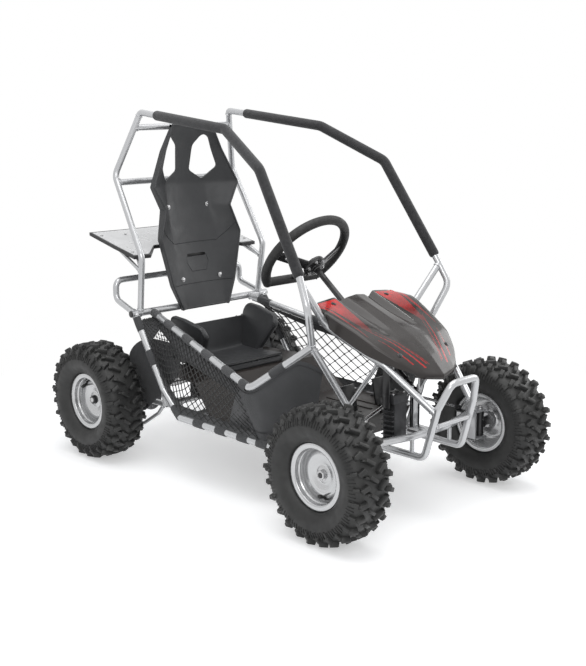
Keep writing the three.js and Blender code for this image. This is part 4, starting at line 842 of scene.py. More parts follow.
AXLE = Vector((-HALF_BASE, 0, WHEEL_HEIGHT))
bm = bmesh.new()
cross_place = share_line(ARM, 1)[1]
sweep(bm, [Vector((cross_place.x, -cross_place.y, cross_place.z)), cross_place], CAGE_TUBE)
for side in (-1, 1):
    arm, guard = share_line(ARM, side), share_line(GUARD, side)
    sweep(bm, arm, CAGE_TUBE, TIGHT_BEND)
    sweep(bm, guard, SLIM_TUBE, TIGHT_BEND, roundness=5)
    welded_end(bm, guard[0], guard[1], 0.011, SLIM_TUBE)
    welded(bm, (cross_place.x, side * (cross_place.y - 0.011), cross_place.z), across, CAGE_TUBE)
    rear, front = guard[-1].x - 0.006, arm[2].x + 0.022
    lower = [(rear, -0.030), (rear + 0.012, -0.039), (front - 0.012, -0.039), (front, -0.030)]
    corners = [(x, WHEEL_HEIGHT + up) for x, up in lower] + [(x, WHEEL_HEIGHT - up) for x, up in lower[::-1]]
    y = arm[2].y
    plate(bm, corners, y - 0.004, y + 0.004)
    for x in (rear + 0.010, front - 0.010):
        for up in (0.028, -0.028):
            bolt(bm, (x, y + side * 0.004, WHEEL_HEIGHT + up), (0, side, 0), 0.009, index=1)
MOTOR = Vector((-0.757 * HALF_BASE, 0.070, 0.1955 * CAGE_HEIGHT))
cradle = MOTOR.z - 0.0503
cradle_rear = MOTOR.x - 0.045
cradle_middle = ((cross_place.x + cradle_rear) / 2, MOTOR.y, cradle - 0.003)
block(bm, (cross_place.x - cradle_rear, 0.080, 0.006), cradle_middle, bevel=0.001)
post(bm, cross_place.x - 0.003, MOTOR.y, (0.006, 0.080), cradle - 0.006, cross_place.z)
arm = share_line(ARM, -1)[2]
caliper_end = BRAKE_Y - 0.0203
caliper_arm = (arm.x + 0.0375, (arm.y + caliper_end) / 2, WHEEL_HEIGHT + 0.011)
block(bm, (0.0146, caliper_end - arm.y, 0.028), caliper_arm, bevel=0.001)
piece("rear_subframe_tube", bm, [silver_paint, bright_steel], "chassis", ["rear_subframe"])
print("front beam and rear subframe done")

# %% [markdown]
# Foam sleeves slide over both roof bars. They are soft tubes with rounded ends, so the sweep gets smaller
# at each end.

# %% Foam sleeves
for label, side in SIDES:
    bm = bmesh.new()
    line = stretch(rounded(share_line(ROOF, side)[:4], BEND), 0.082, 0.997)
    sweep(bm, line, 0.030, 0, roundness=10, ends=0.007)
    sleeve = piece("foam_sleeve_" + label, bm, black_foam, "chassis", ["roof_foam_" + label])
print("foam sleeves done")

# %% [markdown]
# A rim is a pressed steel bowl. Its section is one line, spun about the axle: the hub's tube, the dished
# face with two shallow rings, the barrel with a step inside, and the rolled flanges that hold the tyre. A
# rubber valve sticks out beside the face. The left wheels are the mirror image.

# %% Rims
RIM_SECTION = [
    (0.0084, -0.013), (0.0215, -0.013), (0.0220, -0.0122), (0.0220, 0.0062), (0.0240, 0.0078),
    (0.0300, 0.0088), (0.0400, 0.0122), (0.0460, 0.0134), (0.0520, 0.0140), (0.0560, 0.0132),
    (0.0620, 0.0085), (0.0680, 0.0045), (0.0716, 0.0010), (0.0728, -0.0040), (0.0734, -0.0380),
    (0.0750, -0.0425), (0.0800, -0.0446), (0.0870, -0.0450), (0.0886, -0.0446), (0.0890, -0.0436),
    (0.0884, -0.0428), (0.0800, -0.0422), (0.0780, -0.0405), (0.0770, -0.0370), (0.0768, -0.0100),
    (0.0768, 0.0100), (0.0770, 0.0370), (0.0780, 0.0405), (0.0800, 0.0422), (0.0868, 0.0428),
    (0.0884, 0.0424), (0.0891, 0.0434), (0.0890, 0.0446), (0.0880, 0.0452), (0.0840, 0.0453),
    (0.0790, 0.0450), (0.0752, 0.0436), (0.0740, 0.0418), (0.0736, 0.0390), (0.0733, 0.0322),
    (0.0724, 0.0304), (0.0708, 0.0296), (0.0698, 0.0280), (0.0696, 0.0170), (0.0704, 0.0124),
    (0.0704, 0.0086), (0.0688, 0.0088), (0.0640, 0.0118), (0.0580, 0.0166), (0.0530, 0.0175),
    (0.0480, 0.0168), (0.0430, 0.0158), (0.0400, 0.0156), (0.0330, 0.0132), (0.0280, 0.0124),
    (0.0246, 0.0116), (0.0222, 0.0126), (0.0214, 0.0130), (0.0084, 0.0130),
]
WHEELS = [("front_right", 1, -1, "front_wheel_right"), ("front_left", 1, 1, "front_wheel_left"),
          ("rear_right", -1, -1, "rear_wheels"), ("rear_left", -1, 1, "rear_wheels")]


def make_rim(label, end, side, body):
    """The spun bowl with its valve."""
    place = Vector((end * HALF_BASE, side * HALF_TRACK, WHEEL_HEIGHT))
    bm = bmesh.new()
    turned(bm, RIM_SECTION, place, 72, side)
    turn = {"front_right": -1.42, "front_left": 0.9, "rear_right": 2.3, "rear_left": -2.6}[label]
    spot = place + Vector((math.cos(turn) * 0.0615, side * 0.009, math.sin(turn) * 0.0615))
    lean = Vector((-math.cos(turn) * 0.35, side, -math.sin(turn) * 0.35)).normalized()
    disc(bm, 0.0078, 0.006, spot + lean * 0.002, lean, 24, 0.0016, index=1)
    disc(bm, 0.0044, 0.020, spot + lean * 0.012, lean, 20, 0.0008, index=1)
    disc(bm, 0.0054, 0.011, spot + lean * 0.024, lean, 20, 0.0014, index=1)
    plain = "_rim_".join(label.split("_"))
    piece("rim_shell_" + label, bm, [rim_paint, grip_rubber], body, [plain], sharp=50)


for wheel in WHEELS:
    make_rim(*wheel)
print("rims done")

# %% [markdown]
# A knobby tyre is a smooth carcass with separate rubber blocks. The blocks come in pitches: in each one
# there is a slanted pair across the crown and a taller block at both shoulders, and the two halves are
# staggered by half a pitch. Each block is a bevelled box with a narrower top, laid round the tyre, and a
# thin rib runs from the shoulder blocks on to the sidewall.

# %% Tyres
LUG = 0.013
LUG_FOOT = 0.005
CARCASS = [
    (0.0773, 0.0380), (0.0784, 0.0390), (0.0900, 0.0400), (0.0920, 0.0450), (0.0925, 0.0480),
    (0.0960, 0.0520), (0.1030, 0.0580), (0.1120, 0.0635), (0.1230, 0.0668), (0.1340, 0.0676),
    (0.1450, 0.0658), (0.1550, 0.0618), (0.1640, 0.0560), (0.1690, 0.0490), (0.1715, 0.0400),
    (0.1728, 0.0280), (0.1735, 0.0140), (0.1738, 0.0),
]
PITCHES = 26


def tyre_block(bm, size, height, out, radius, angle, turn, lean):
    """One bevelled rubber block, with its foot sunk a little in the carcass."""
    old_faces = set(bm.faces)
    verts = bmesh.ops.create_cube(bm, size=1)["verts"]
    bmesh.ops.scale(bm, vec=(*size, height + LUG_FOOT), verts=verts)
    bmesh.ops.translate(bm, vec=(0, 0, (height - LUG_FOOT) / 2), verts=verts)
    bmesh.ops.scale(bm, vec=(0.78, 0.84, 1), verts=[v for v in verts if v.co.z > 0])
    rounded_off(bm, [e for e in edges_of(verts) if max(v.co.z for v in e.verts) > 0], 0.0014)
    leaning = Matrix.Rotation(lean, 4, "X") @ Matrix.Rotation(turn, 4, "Z")
    placed = Matrix.Rotation(angle, 4, "Y") @ Matrix.Translation((0, out, radius)) @ leaning
    bmesh.ops.transform(bm, matrix=placed, verts=verts_of(fresh_faces(bm, old_faces)))


def tread_unit():
    """The blocks of two pitches, which repeat all round the tyre."""
    unit, pitch = bmesh.new(), 2 * math.pi / PITCHES
    for i, reach, width in ((0, 0.0455, 0.0130), (1, 0.0425, 0.0095)):
        for side in (-1, 1):
            angle = (i + (0.5 if side > 0 else 0)) * pitch
            tyre_block(unit, (0.0115, 0.034), LUG - 0.0006, side * 0.0165, 0.1736, angle, side * 0.62, 0)
            angle += pitch * 0.44
            tyre_block(unit, (0.0150, 0.026), LUG, side * reach, 0.1705, angle, side * -0.42, side * -0.30)
            tyre_block(unit, (0.0075, 0.018), LUG * 0.72, side * (reach - 0.012), 0.1722,
                       angle + pitch * 0.38, side * 0.3, side * -0.12)
            tyre_block(unit, (width, 0.021), 0.0075, side * 0.0590, 0.1605, angle, 0, side * -0.98)
            if i == 0:
                tyre_block(unit, (0.0075, 0.017), 0.0040, side * 0.0648, 0.1485, angle, 0, side * -1.28)
            for k in range(4):
                tyre_block(unit, (0.0020, 0.026 - 0.005 * (k % 2)), 0.0018, side * 0.0646, 0.1490,
                           angle + pitch * (0.10 + 0.24 * k), 0, side * -1.26)
    bmesh.ops.recalc_face_normals(unit, faces=unit.faces)
    mesh = bpy.data.meshes.new("tread_unit")
    unit.to_mesh(mesh)
    unit.free()
    return mesh


TREAD = tread_unit()


def make_tyre(label, end, side, body):
    """A spun carcass with the tread unit laid round it."""
    place = Vector((end * HALF_BASE, side * HALF_TRACK, WHEEL_HEIGHT))
    bm = bmesh.new()
    section = CARCASS + [(r, -out) for r, out in CARCASS[-2::-1]]
    turned(bm, section, place, 96, side, closed=False)
    start = 0.07 if end > 0 else 0.21
    for k in range(PITCHES // 2):
        first = len(bm.verts)
        bm.from_mesh(TREAD)
        bm.verts.ensure_lookup_table()
        turn = Matrix.Rotation(start + 4 * math.pi * k / PITCHES, 4, "Y")
        flip = Matrix.Diagonal((1, side, 1, 1))
        bmesh.ops.transform(bm, matrix=Matrix.Translation(place) @ flip @ turn, verts=bm.verts[first:])
    if side < 0:
        bmesh.ops.recalc_face_normals(bm, faces=bm.faces)
    plain = "_tyre_".join(label.split("_"))
    piece("tyre_knobs_" + label, bm, tyre_rubber, body, [plain], sharp=45)


for wheel in WHEELS:
    make_tyre(*wheel)

# %% [markdown]
# The seat back is one moulded shell. A fine grid is laid over the same rows as the plain seat, its
# creases are relaxed a little, and it is thickened. Openings, grooves and the small pocket are then cut
# with solid shapes, as a moulder would form them with inserts in the tool. The cut is made once, and the
# result is kept as a mesh.

# %% Seat back
def carved(bm, cutters, operation="DIFFERENCE"):
    """Cuts (or joins) closed shapes, each built in its own mesh, and gives back a new mesh."""
    target = bpy.data.objects.new("target", bpy.data.meshes.new("target"))
    bm.to_mesh(target.data)
    bm.free()
    bpy.context.scene.collection.objects.link(target)
    tools = []
    for cutter in cutters:
        tool = bpy.data.objects.new("tool", bpy.data.meshes.new("tool"))
        bmesh.ops.recalc_face_normals(cutter, faces=cutter.faces)
        cutter.to_mesh(tool.data)
        cutter.free()
        bpy.context.scene.collection.objects.link(tool)
        tools.append(tool)
        step = target.modifiers.new("cut", "BOOLEAN")
        step.operation = operation
        step.solver = "EXACT"
        step.object = tool
    bpy.context.view_layer.update()
    result = bpy.data.meshes.new_from_object(target.evaluated_get(bpy.context.evaluated_depsgraph_get()))
    fresh = bmesh.new()
    fresh.from_mesh(result)
    bpy.data.meshes.remove(result)
    for item in (target, *tools):
        data = item.data
        bpy.data.objects.remove(item)
        bpy.data.meshes.remove(data)
    return fresh


def seat_place(u, v):
    """A place on the seat's front. u runs from -1 to 1 across it, and v from 0 to 1 up it."""
    for low, high in zip(SEAT_ROWS, SEAT_ROWS[1:]):
        if v <= high[0] + 1e-9:
            break
    t = min(max((v - low[0]) / (high[0] - low[0]), 0), 1)
    _, forward, wing, crease, edge = [a + (b - a) * t for a, b in zip(low, high)]
    inner = min(abs(u) / 0.6, 1)
    outer = max(abs(u) - 0.6, 0) / 0.4
    dish = 0.012 * (1 - inner * inner) * min(v * 4, 1, (1 - v) * 4)
    x = SEAT_FRONT + (forward + wing * outer) * SEAT_HEIGHT - dish
    y = (crease * inner + (edge - crease) * outer) * SEAT_HEIGHT
    return Vector((x, math.copysign(y, u), SEAT_TOP + (v - 1) * SEAT_HEIGHT))


def laid_grid(bm, across_count, up_count, place):
    """A flat grid whose points are moved to place(u, v), with u from -1 to 1 and v from 0 to 1."""
    verts = bmesh.ops.create_grid(bm, x_segments=across_count, y_segments=up_count, size=1)["verts"]
    for vert in verts:
        vert.co = place(vert.co.x, (vert.co.y + 1) / 2)
    return verts


def relax(bm, verts, times):
    """Eases the creases of a grid, but keeps its edge."""
    inside = [v for v in verts if not v.is_boundary]
    for _ in range(times):
        bmesh.ops.smooth_vert(bm, verts=inside, factor=0.5, use_axis_x=True, use_axis_y=True, use_axis_z=True)


def thicken(bm, amount):
    """Turns an open skin into a shell."""
    bmesh.ops.solidify(bm, geom=bm.faces[:] + bm.edges[:] + bm.verts[:], thickness=amount)
    bmesh.ops.recalc_face_normals(bm, faces=bm.faces)


def prism(outline, start, depth, bevel):
    """A closed prism over an outline in Y and Z, with rounded corners, running along X from start."""
    bm = bmesh.new()
    bm.faces.new([bm.verts.new((start, y, z)) for y, z in outline])
    bmesh.ops.bevel(bm, geom=bm.verts[:], offset=bevel, segments=5, profile=0.5, affect="VERTICES",
                    material=-1)
    slab(bm, (depth, 0, 0))
    return bm


def merge(bm, part, index=0):
    """Adds a mesh that was built by itself, and frees it."""
    for face in part.faces:
        face.material_index = index
    mesh = bpy.data.meshes.new("part")
    part.to_mesh(mesh)
    part.free()
    bm.from_mesh(mesh)
    bpy.data.meshes.remove(mesh)


def slab(bm, fall):
    """Gives a whole open sheet its depth."""
    copied_up(bm, bm.faces[:], fall)
    bmesh.ops.recalc_face_normals(bm, faces=bm.faces)


def groove(points, diameter):
    """A round cutter along points on the seat."""
    bm = bmesh.new()
    sweep(bm, [seat_place(u, v) for u, v in points], diameter, 0, roundness=3)
    return bm


bm = bmesh.new()
shell = laid_grid(bm, 64, 110, seat_place)
relax(bm, shell, 3)
thicken(bm, 0.0048)
open_edges = sum(not e.is_manifold for e in bm.edges)
print("seat shell volume in ml:", round(bm.calc_volume() * 1e6, 1), "open edges:", open_edges)
holes = [(0.945, 0.112), (0.885, 0.057), (0.746, 0.045), (0.692, 0.128), (0.765, 0.192), (0.93, 0.135)]
cutters = []
for side in (-1, 1):
    outline = [(side * out * SEAT_HEIGHT, SEAT_TOP + (up - 1) * SEAT_HEIGHT) for up, out in holes]
    cutters.append(prism(outline, SEAT_FRONT - 0.08, 0.20, 0.008))
steps = [i / 24 for i in range(25)]
cutters.append(groove([(-0.58 + 1.16 * t, 0.352) for t in steps], 0.0032))
cutters.append(groove([(0.60 + 0.40 * t, 0.355 + 0.10 * t) for t in steps], 0.0028))
cutters.append(groove([(-0.60 - 0.40 * t, 0.355 + 0.10 * t) for t in steps], 0.0028))
cutters.append(groove([(-0.95 + 1.90 * t, 0.132) for t in steps], 0.0032))
hexagon = [(-0.26, 0.282), (-0.30, 0.245), (-0.20, 0.195), (0.20, 0.195), (0.30, 0.245), (0.26, 0.282)]
pocket = []
for (u1, v1), (u2, v2) in zip(hexagon, hexagon[1:]):
    pocket += [(u1 + (u2 - u1) * t / 6, v1 + (v2 - v1) * t / 6) for t in range(6)]
cutters.append(groove(pocket + [hexagon[-1]], 0.0026))
bm = carved(bm, cutters)
slot_place = seat_place(0, 0.283) + Vector((0.0055, 0, 0))
slot = bmesh.new()
block(slot, (0.040, 0.076, 0.0095), slot_place, bevel=0.0035)
bm = carved(bm, [slot])
block(bm, (0.003, 0.086, 0.018), slot_place - Vector((0.0135, 0, 0)), bevel=0.0008, index=2)
FLANGE = [(0, 0.016), (0.136, 0.020), (0.397, 0.022), (0.55, 0.034), (0.674, 0.024), (0.86, 0.020),
          (1, 0.018)]


def flange_place(side, v, back):
    """A place on the flange behind the seat's edge, back from 0 to 1."""
    for (low, a), (high, b) in zip(FLANGE, FLANGE[1:]):
        if v <= high + 1e-9:
            break
    depth = a + (b - a) * (v - low) / (high - low)
    return seat_place(side * 0.993, v) - Vector((0.001 + depth * back, 0, 0))


for side in (-1, 1):
    part = bmesh.new()
    laid_grid(part, 6, 80, lambda u, v, s=side: flange_place(s, v, (u + 1) / 2))
    thicken(part, 0.0034)
    merge(bm, part)
rolls = [[(side * 0.995, i / 60) for i in range(61)] for side in (-1, 1)]
rolls += [[(-0.995 + 1.99 * t, v) for t in steps] for v in (0.004, 0.996)]
for roll in rolls:
    sweep(bm, [seat_place(u, v) + Vector((-0.0022, 0, 0)) for u, v in roll], 0.0072, 0, roundness=3)
for side in (-1, 1):
    for v, u in ((0.5515, 0.60), (0.160, 0.57)):
        spot = seat_place(side * u * 0.93, v)
        disc(bm, 0.0078, 0.0016, spot + Vector((0.0003, 0, 0)), (1, 0, 0.15), 28, 0.0006, index=1)
        disc(bm, 0.0050, 0.0042, spot + Vector((0.0028, 0, 0)), (1, 0, 0.15), 24, 0.0016, tip=0.0034, index=1)
piece("seat_shell", bm, [seat_plastic, bright_steel, cable_black], "chassis", ["seat_back"],
      sharp=32)

# %% [markdown]
# The seat pan is the lower half of the bucket. Its two bolsters lean outwards and have soft tops, so each
# is an outline with thickness, well bevelled and then sheared. The base has a shallow bowl with a rounded
# front lip.

# %% Seat pan
TRAY_TOP = 0.171 * CAGE_HEIGHT + 0.011 * math.cos(math.pi / 8) + 0.0003
PAN_LOW = TRAY_TOP + 0.083 * CAGE_HEIGHT + 0.0033
PAN_REAR, PAN_LENGTH, PAN_HEIGHT = -0.365, 0.215, 0.163
PAN_SIDE = [(0, 0), (0, 0.88), (0.07, 1), (0.3, 0.975), (0.7, 0.86), (0.78, 0.68), (0.5, 0.13), (0.97, 0.12),
            (1, 0)]


def smooth_outline(points, bend, steps=5):
    """Rounds the corners of a closed outline of (x, z) points."""
    count, made = len(points), []
    for i in range(count):
        before, corner, after = [Vector((*points[(i + k) % count], 0)) for k in (-1, 0, 1)]
        back, ahead = before - corner, after - corner
        reach = min(bend, back.length / 2.1, ahead.length / 2.1)
        start, end = corner + back.normalized() * reach, corner + ahead.normalized() * reach
        for k in range(steps + 1):
            t = k / steps
            spot = start.lerp(corner, t).lerp(corner.lerp(end, t), t)
            made.append((spot.x, spot.y))
    return made


def flare(height):
    """How far the bolsters lean outwards at a height."""
    return 0.042 * height / PAN_HEIGHT


bm = bmesh.new()
outline = [(PAN_REAR + along * PAN_LENGTH, PAN_LOW + up * PAN_HEIGHT) for along, up in PAN_SIDE]
outline = smooth_outline(outline, 0.012)
for side in (-1, 1):
    low, high = sorted((side * 0.130, side * 0.108))
    verts = plate(bm, outline, low, high, bevel=0.0065)
    for vert in verts:
        vert.co.y += side * flare(vert.co.z - PAN_LOW)


def pan_place(u, v):
    """The seat's bowl: u across, v from the rear wall's top, down and forward to the front lip."""
    if v < 0.3:
        height, x = 0.100 * (1 - v / 0.3) + 0.022, PAN_REAR + 0.006 + 0.012 * (v / 0.3)
    else:
        x = PAN_REAR + 0.018 + (v - 0.3) / 0.7 * (PAN_LENGTH - 0.020)
        height = 0.022 - 0.004 * math.sin((v - 0.3) / 0.7 * math.pi)
    dip = 0.006 * (1 - u * u) if 0.3 < v < 0.95 else 0
    return Vector((x, u * (0.121 + flare(height) * 0.9), PAN_LOW + height - dip))


bowl = bmesh.new()
verts = laid_grid(bowl, 30, 40, pan_place)
relax(bowl, verts, 6)
thicken(bowl, 0.006)
merge(bm, bowl)
base = [(0.002, 0), (PAN_LENGTH, 0), (PAN_LENGTH * 0.975, 0.0195), (PAN_LENGTH * 0.9, 0.017), (0.004, 0.010)]
plate(bm, smooth_outline([(PAN_REAR + x, PAN_LOW + z) for x, z in base], 0.004), -0.126, 0.126, bevel=0.003)
back_lip = [(0.006, -0.145, 0.102), (0.004, -0.087, 0.099), (0.004, 0, 0.099), (0.004, 0.087, 0.099),
            (0.006, 0.145, 0.102)]
sweep(bm, [Vector((PAN_REAR + x, y, PAN_LOW + z)) for x, y, z in back_lip], 0.008, 0, roundness=4)
for side in (-1, 1):
    screw = Vector((PAN_REAR + 0.10, side * 0.058, PAN_LOW))
    disc(bm, 0.010, 0.0014, screw + Vector((0, 0, 0.0145)), (0, 0, 1), 28, 0.0005, index=1)
    disc(bm, 0.0052, 0.004, screw + Vector((0, 0, 0.0165)), (0, 0, 1), 24, 0.0014, tip=0.0036, index=1)
piece("seat_pan_shell", bm, [seat_plastic, black_paint], "chassis", ["seat_pan"], sharp=40)
print("seat pan done")

# %% [markdown]
# The hood is a thin moulded cover. Its plain form is seven rows of points, from the edge to the middle. A
# smooth curve through those points gives many more rows and columns, so the two ridges, the valleys
# beside them and the low centre hump flow into each other. The skin is then thickened, and small push
# fasteners hold it down. Thin pale lines along two creases are a painted highlight of the light on those
# edges.

# %% Hood
HOOD_ROWS = [
    [(0.6, 0.87, 0.5165), (0.547, 0.81, 0.5248), (0.5486, 0.427, 0.5312),
     (0.5486, 0.34, 0.5165), (0.563, 0.2, 0.5265), (0.567, 0, 0.5307)],
    [(0.7069, 1, 0.4743), (0.676, 1, 0.5127), (0.6908, 0.42, 0.5035),
     (0.6908, 0.31, 0.4905), (0.699, 0.2, 0.5005), (0.699, 0, 0.507)],
    [(0.8397, 0.935, 0.4402), (0.8544, 0.91, 0.475), (0.86, 0.41, 0.4705),
     (0.8545, 0.33, 0.467), (0.8545, 0.2, 0.4735), (0.8545, 0, 0.4773)],
    [(0.9482, 0.87, 0.4172), (0.975, 0.832, 0.443), (0.981, 0.54, 0.4455),
     (0.981, 0.33, 0.4455), (0.981, 0.22, 0.4473), (0.981, 0, 0.449)],
    [(1.064, 0.68, 0.3945), (1.0765, 0.647, 0.4095), (1.087, 0.38, 0.411),
     (1.091, 0.25, 0.411), (1.093, 0.16, 0.4118), (1.097, 0, 0.4118)],
    [(1.1465, 0.451, 0.376), (1.1455, 0.451, 0.381), (1.167, 0.326, 0.3773),
     (1.177, 0.22, 0.3745), (1.1845, 0.11, 0.372), (1.192, 0, 0.37)],
    [(1.1485, 0.451, 0.369), (1.1475, 0.451, 0.369), (1.169, 0.326, 0.3636),
     (1.179, 0.22, 0.361), (1.1865, 0.11, 0.358), (1.194, 0, 0.3555)],
]


def eased(values, t):
    """A smooth curve through evenly spaced values, without overshoot at the ends."""
    last = len(values) - 1
    i = min(int(t * last), last - 1)
    f = t * last - i
    a, b, c, d = (values[max(i + k, 0)] if i + k <= last else values[last] for k in (-1, 0, 1, 2))
    tension = 0.32
    m1, m2 = (c - a) * tension, (d - b) * tension
    weights = (2 * f ** 3 - 3 * f ** 2 + 1, f ** 3 - 2 * f ** 2 + f, 3 * f ** 2 - 2 * f ** 3, f ** 3 - f ** 2)
    return b * weights[0] + m1 * weights[1] + c * weights[2] + m2 * weights[3]


HOOD_HALF = 0.184
HOOD_POINTS = [[Vector((forward * HALF_BASE, out * HOOD_HALF, up * CAGE_HEIGHT)) for forward, out, up in row]
               for row in HOOD_ROWS]


def cornered(values, t, soft=0.13):
    """Straight runs between evenly spaced points, with each corner rounded over a share of a run."""
    last = len(values) - 1
    place = t * last
    i = round(place)
    off = place - i
    if 0 < i < last and abs(off) < soft:
        before, after = values[i].lerp(values[i - 1], soft), values[i].lerp(values[i + 1], soft)
        share = (off + soft) / (2 * soft)
        return before.lerp(values[i], share).lerp(values[i].lerp(after, share), share)
    low = min(int(place), last - 1)
    return values[low].lerp(values[low + 1], place - low)


def hood_place(u, v):
    """A place on the skin: u across it, v from the rear edge to the front."""
    spot = eased([cornered(row, 1 - abs(u)) for row in HOOD_POINTS], v)
    return Vector((spot.x, math.copysign(spot.y, u), spot.z))


bm = bmesh.new()
laid_grid(bm, 80, 72, hood_place)
bmesh.ops.recalc_face_normals(bm, faces=bm.faces)
if sum(f.normal.z for f in bm.faces) < 0:
    bmesh.ops.reverse_faces(bm, faces=bm.faces)
thicken(bm, 0.0028)
for u, v in ((0.675, 0.075), (0.68, 0.615)):
    for side in (-1, 1):
        spot = hood_place(side * u, v)
        near = hood_place(side * u, v + 0.02)
        beside = hood_place(side * (u - 0.02), v)
        out = (near - spot).cross(beside - spot).normalized()
        out = out if out.z > 0 else -out
        disc(bm, 0.0074, 0.0016, spot + out * 0.0005, out, 24, 0.0005, index=1)
        disc(bm, 0.0040, 0.0018, spot + out * 0.0018, out, 6, 0.0004, index=1)
    # Thin pale tubes along two crease lines carry a painted highlight of the light on those edges.
    for edge_u, first, final in ((0.8, 0.14, 0.97), (0.6, 0.01, 0.33)):
        line = [hood_place(side * edge_u, first + (final - first) * i / 40) for i in range(41)]
        sweep(bm, line, 0.0014, 0, roundness=2, index=2)
cover = piece("hood_cover", bm, [hood_gloss, black_paint, painted_crease_highlight], "chassis", ["hood"],
              sharp=50)
print("hood done with", len(cover.data.polygons), "faces")

# %% [markdown]
# The rear cowl is a flat silver deck over a black moulding. Its plan is cut back at the front middle,
# where the seat is, and its edge is thick, with a black lower rim that stands slightly proud of the
# silver top.

# %% Rear cowl
COWL_HALF = 0.254
COWL_TOP = 0.650
COWL_ROWS = [
    [(0, 1), (-0.02, 0.76), (0.26, 0.5), (0.26, 0)],
    [(0.45, 1), (0.45, 0.76), (0.45, 0.5), (0.45, 0)],
    [(1, 0.985), (0.985, 0.76), (0.97, 0.5), (0.965, 0)],
]


def cowl_place(u, v):
    """A place on the deck: u across it, v from front to rear, with a slight crown."""
    rows = []
    for row in COWL_ROWS:
        shares = [Vector((back, out, 0)) for back, out in row]
        t = (1 - abs(u)) * 3
        i = min(int(t), 2)
        rows.append(shares[i].lerp(shares[i + 1], t - i))
    t = v * 2
    i = min(int(t), 1)
    spot = rows[i].lerp(rows[i + 1], t - i)
    x = COWL_FRONT.x - spot.x * COWL_LENGTH
    crown = 0.0015 * u * u
    return Vector((x, math.copysign(spot.y, u) * COWL_HALF, COWL_TOP + spot.x * COWL_RISE - crown))


def cowl_skin(u, v):
    """The silver top, a little smaller than the black moulding and just above it."""
    return cowl_place(u * 0.972, 0.035 + 0.93 * v) + Vector((0, 0, 0.0014))


bm, skin = bmesh.new(), bmesh.new()
laid_grid(bm, 60, 24, cowl_place)
slab(bm, (0, 0, -0.0102))
laid_grid(skin, 60, 24, cowl_skin)
slab(skin, (0, 0, -0.0015))
for face in bm.faces:
    face.material_index = 1
merge(bm, skin)
for u, v in ((0.9, 0.16), (0.9, 0.84), (0.45, 0.80)):
    for side in (-1, 1):
        spot = cowl_place(side * u, v)
        disc(bm, 0.0062, 0.0014, spot + Vector((0, 0, 0.0014)), (0, 0, 1), 24, 0.0004, index=2)
        disc(bm, 0.0034, 0.0016, spot + Vector((0, 0, 0.0024)), (0, 0, 1), 6, 0.0004, index=2)
piece("cowl_deck", bm, [cowl_silver, cowl_black, bright_steel], "chassis", ["rear_cowl"],
      sharp=35)
print("rear cowl done")

# %% [markdown]
# The floor tray is one vacuum formed sheet. It lies flat under the driver's feet, narrows towards the
# pedals and rises at both ends, so mud and water stay out. Low ribs stiffen the flat part, and screws
# hold it to the frame.

# %% Floor tray
TRAY_ROWS = [(-0.67, 0.66, 0.083), (-0.25, 0.75, 0.083), (-0.04, 0.815, 0), (0.455, 0.8, 0), (0.55, 0.53, 0),
             (0.76, 0.27, 0), (0.83, 0.24, 0.06)]


def tray_place(u, v):
    """A place on the sheet: u across it, v from rear to front."""
    last = len(TRAY_ROWS) - 1
    i = min(int(v * last), last - 1)
    forward, out, up = [a + (b - a) * (v * last - i) for a, b in zip(TRAY_ROWS[i], TRAY_ROWS[i + 1])]
    return Vector((forward * HALF_BASE, u * out * HALF_TRACK, TRAY_TOP + up * CAGE_HEIGHT))


bm = bmesh.new()
laid_grid(bm, 36, 48, tray_place)
slab(bm, (0, 0, 0.003))
for i in range(-4, 5):
    block(bm, (0.190, 0.010, 0.0026), (0.130, i * 0.048, TRAY_TOP + 0.0040), bevel=0.0011)
for forward in (-0.02, 0.12, 0.21):
    for side in (-1, 1):
        disc(bm, 0.0075, 0.0014, (forward, side * 0.262, TRAY_TOP + 0.0037), (0, 0, 1), 24, 0.0004, index=1)
        disc(bm, 0.0042, 0.0022, (forward, side * 0.262, TRAY_TOP + 0.0053), (0, 0, 1), 20, 0.0009, index=1)
piece("floor_tray_sheet", bm, [tray_plastic, dark_alloy], "chassis", ["floor_tray"], sharp=30)
print("tray done")

# %% [markdown]
# Each side net is knotted cord. Two families of cords zigzag down from the rail, one turning left first
# and one right, and they meet in a knot at each turn, which leaves diamond openings. A border of folded
# vinyl is sewn along all four edges. The net hangs in one flat plane between the rail and the lower tube,
# so two lines describe it.

# %% Side nets
NET_FALL = Vector((0, 0, -0.0126))
LOW_BORDER = 0.12
STITCHES = 118


def net_lines(side):
    """The net's top line under the rail, and its low line over the lower tube."""
    rail, low = share_line(RAIL, side), share_line(SIDE, side)[:4]
    top = [rail[0].lerp(rail[1], 0.03 + 0.85 * i / 40) + NET_FALL for i in range(41)]
    return top, stretch(low, 0.05, 0.95)


def along_line(line, share):
    """The point at a share of a line's length."""
    return stretch(line, max(share - 1e-5, 0), share)[-1] if share > 0 else line[0].copy()


def net_place(lines, share, down):
    """A place in the net's plane. It swells outwards a little towards the panel in front."""
    top, low = lines
    spot = along_line(top, share).lerp(along_line(low, share) - NET_FALL, down)
    spot.y += math.copysign(0.0075 * max(share - 0.6, 0) / 0.4 * min(down * 4, 1), spot.y)
    return spot


def strip(bm, place, across_count, up_count, thickness, index=0):
    """A thin strip of cloth, laid out by place(u, v) and given a thickness."""
    part = bmesh.new()
    laid_grid(part, across_count, up_count, place)
    thicken(part, thickness)
    merge(bm, part, index)


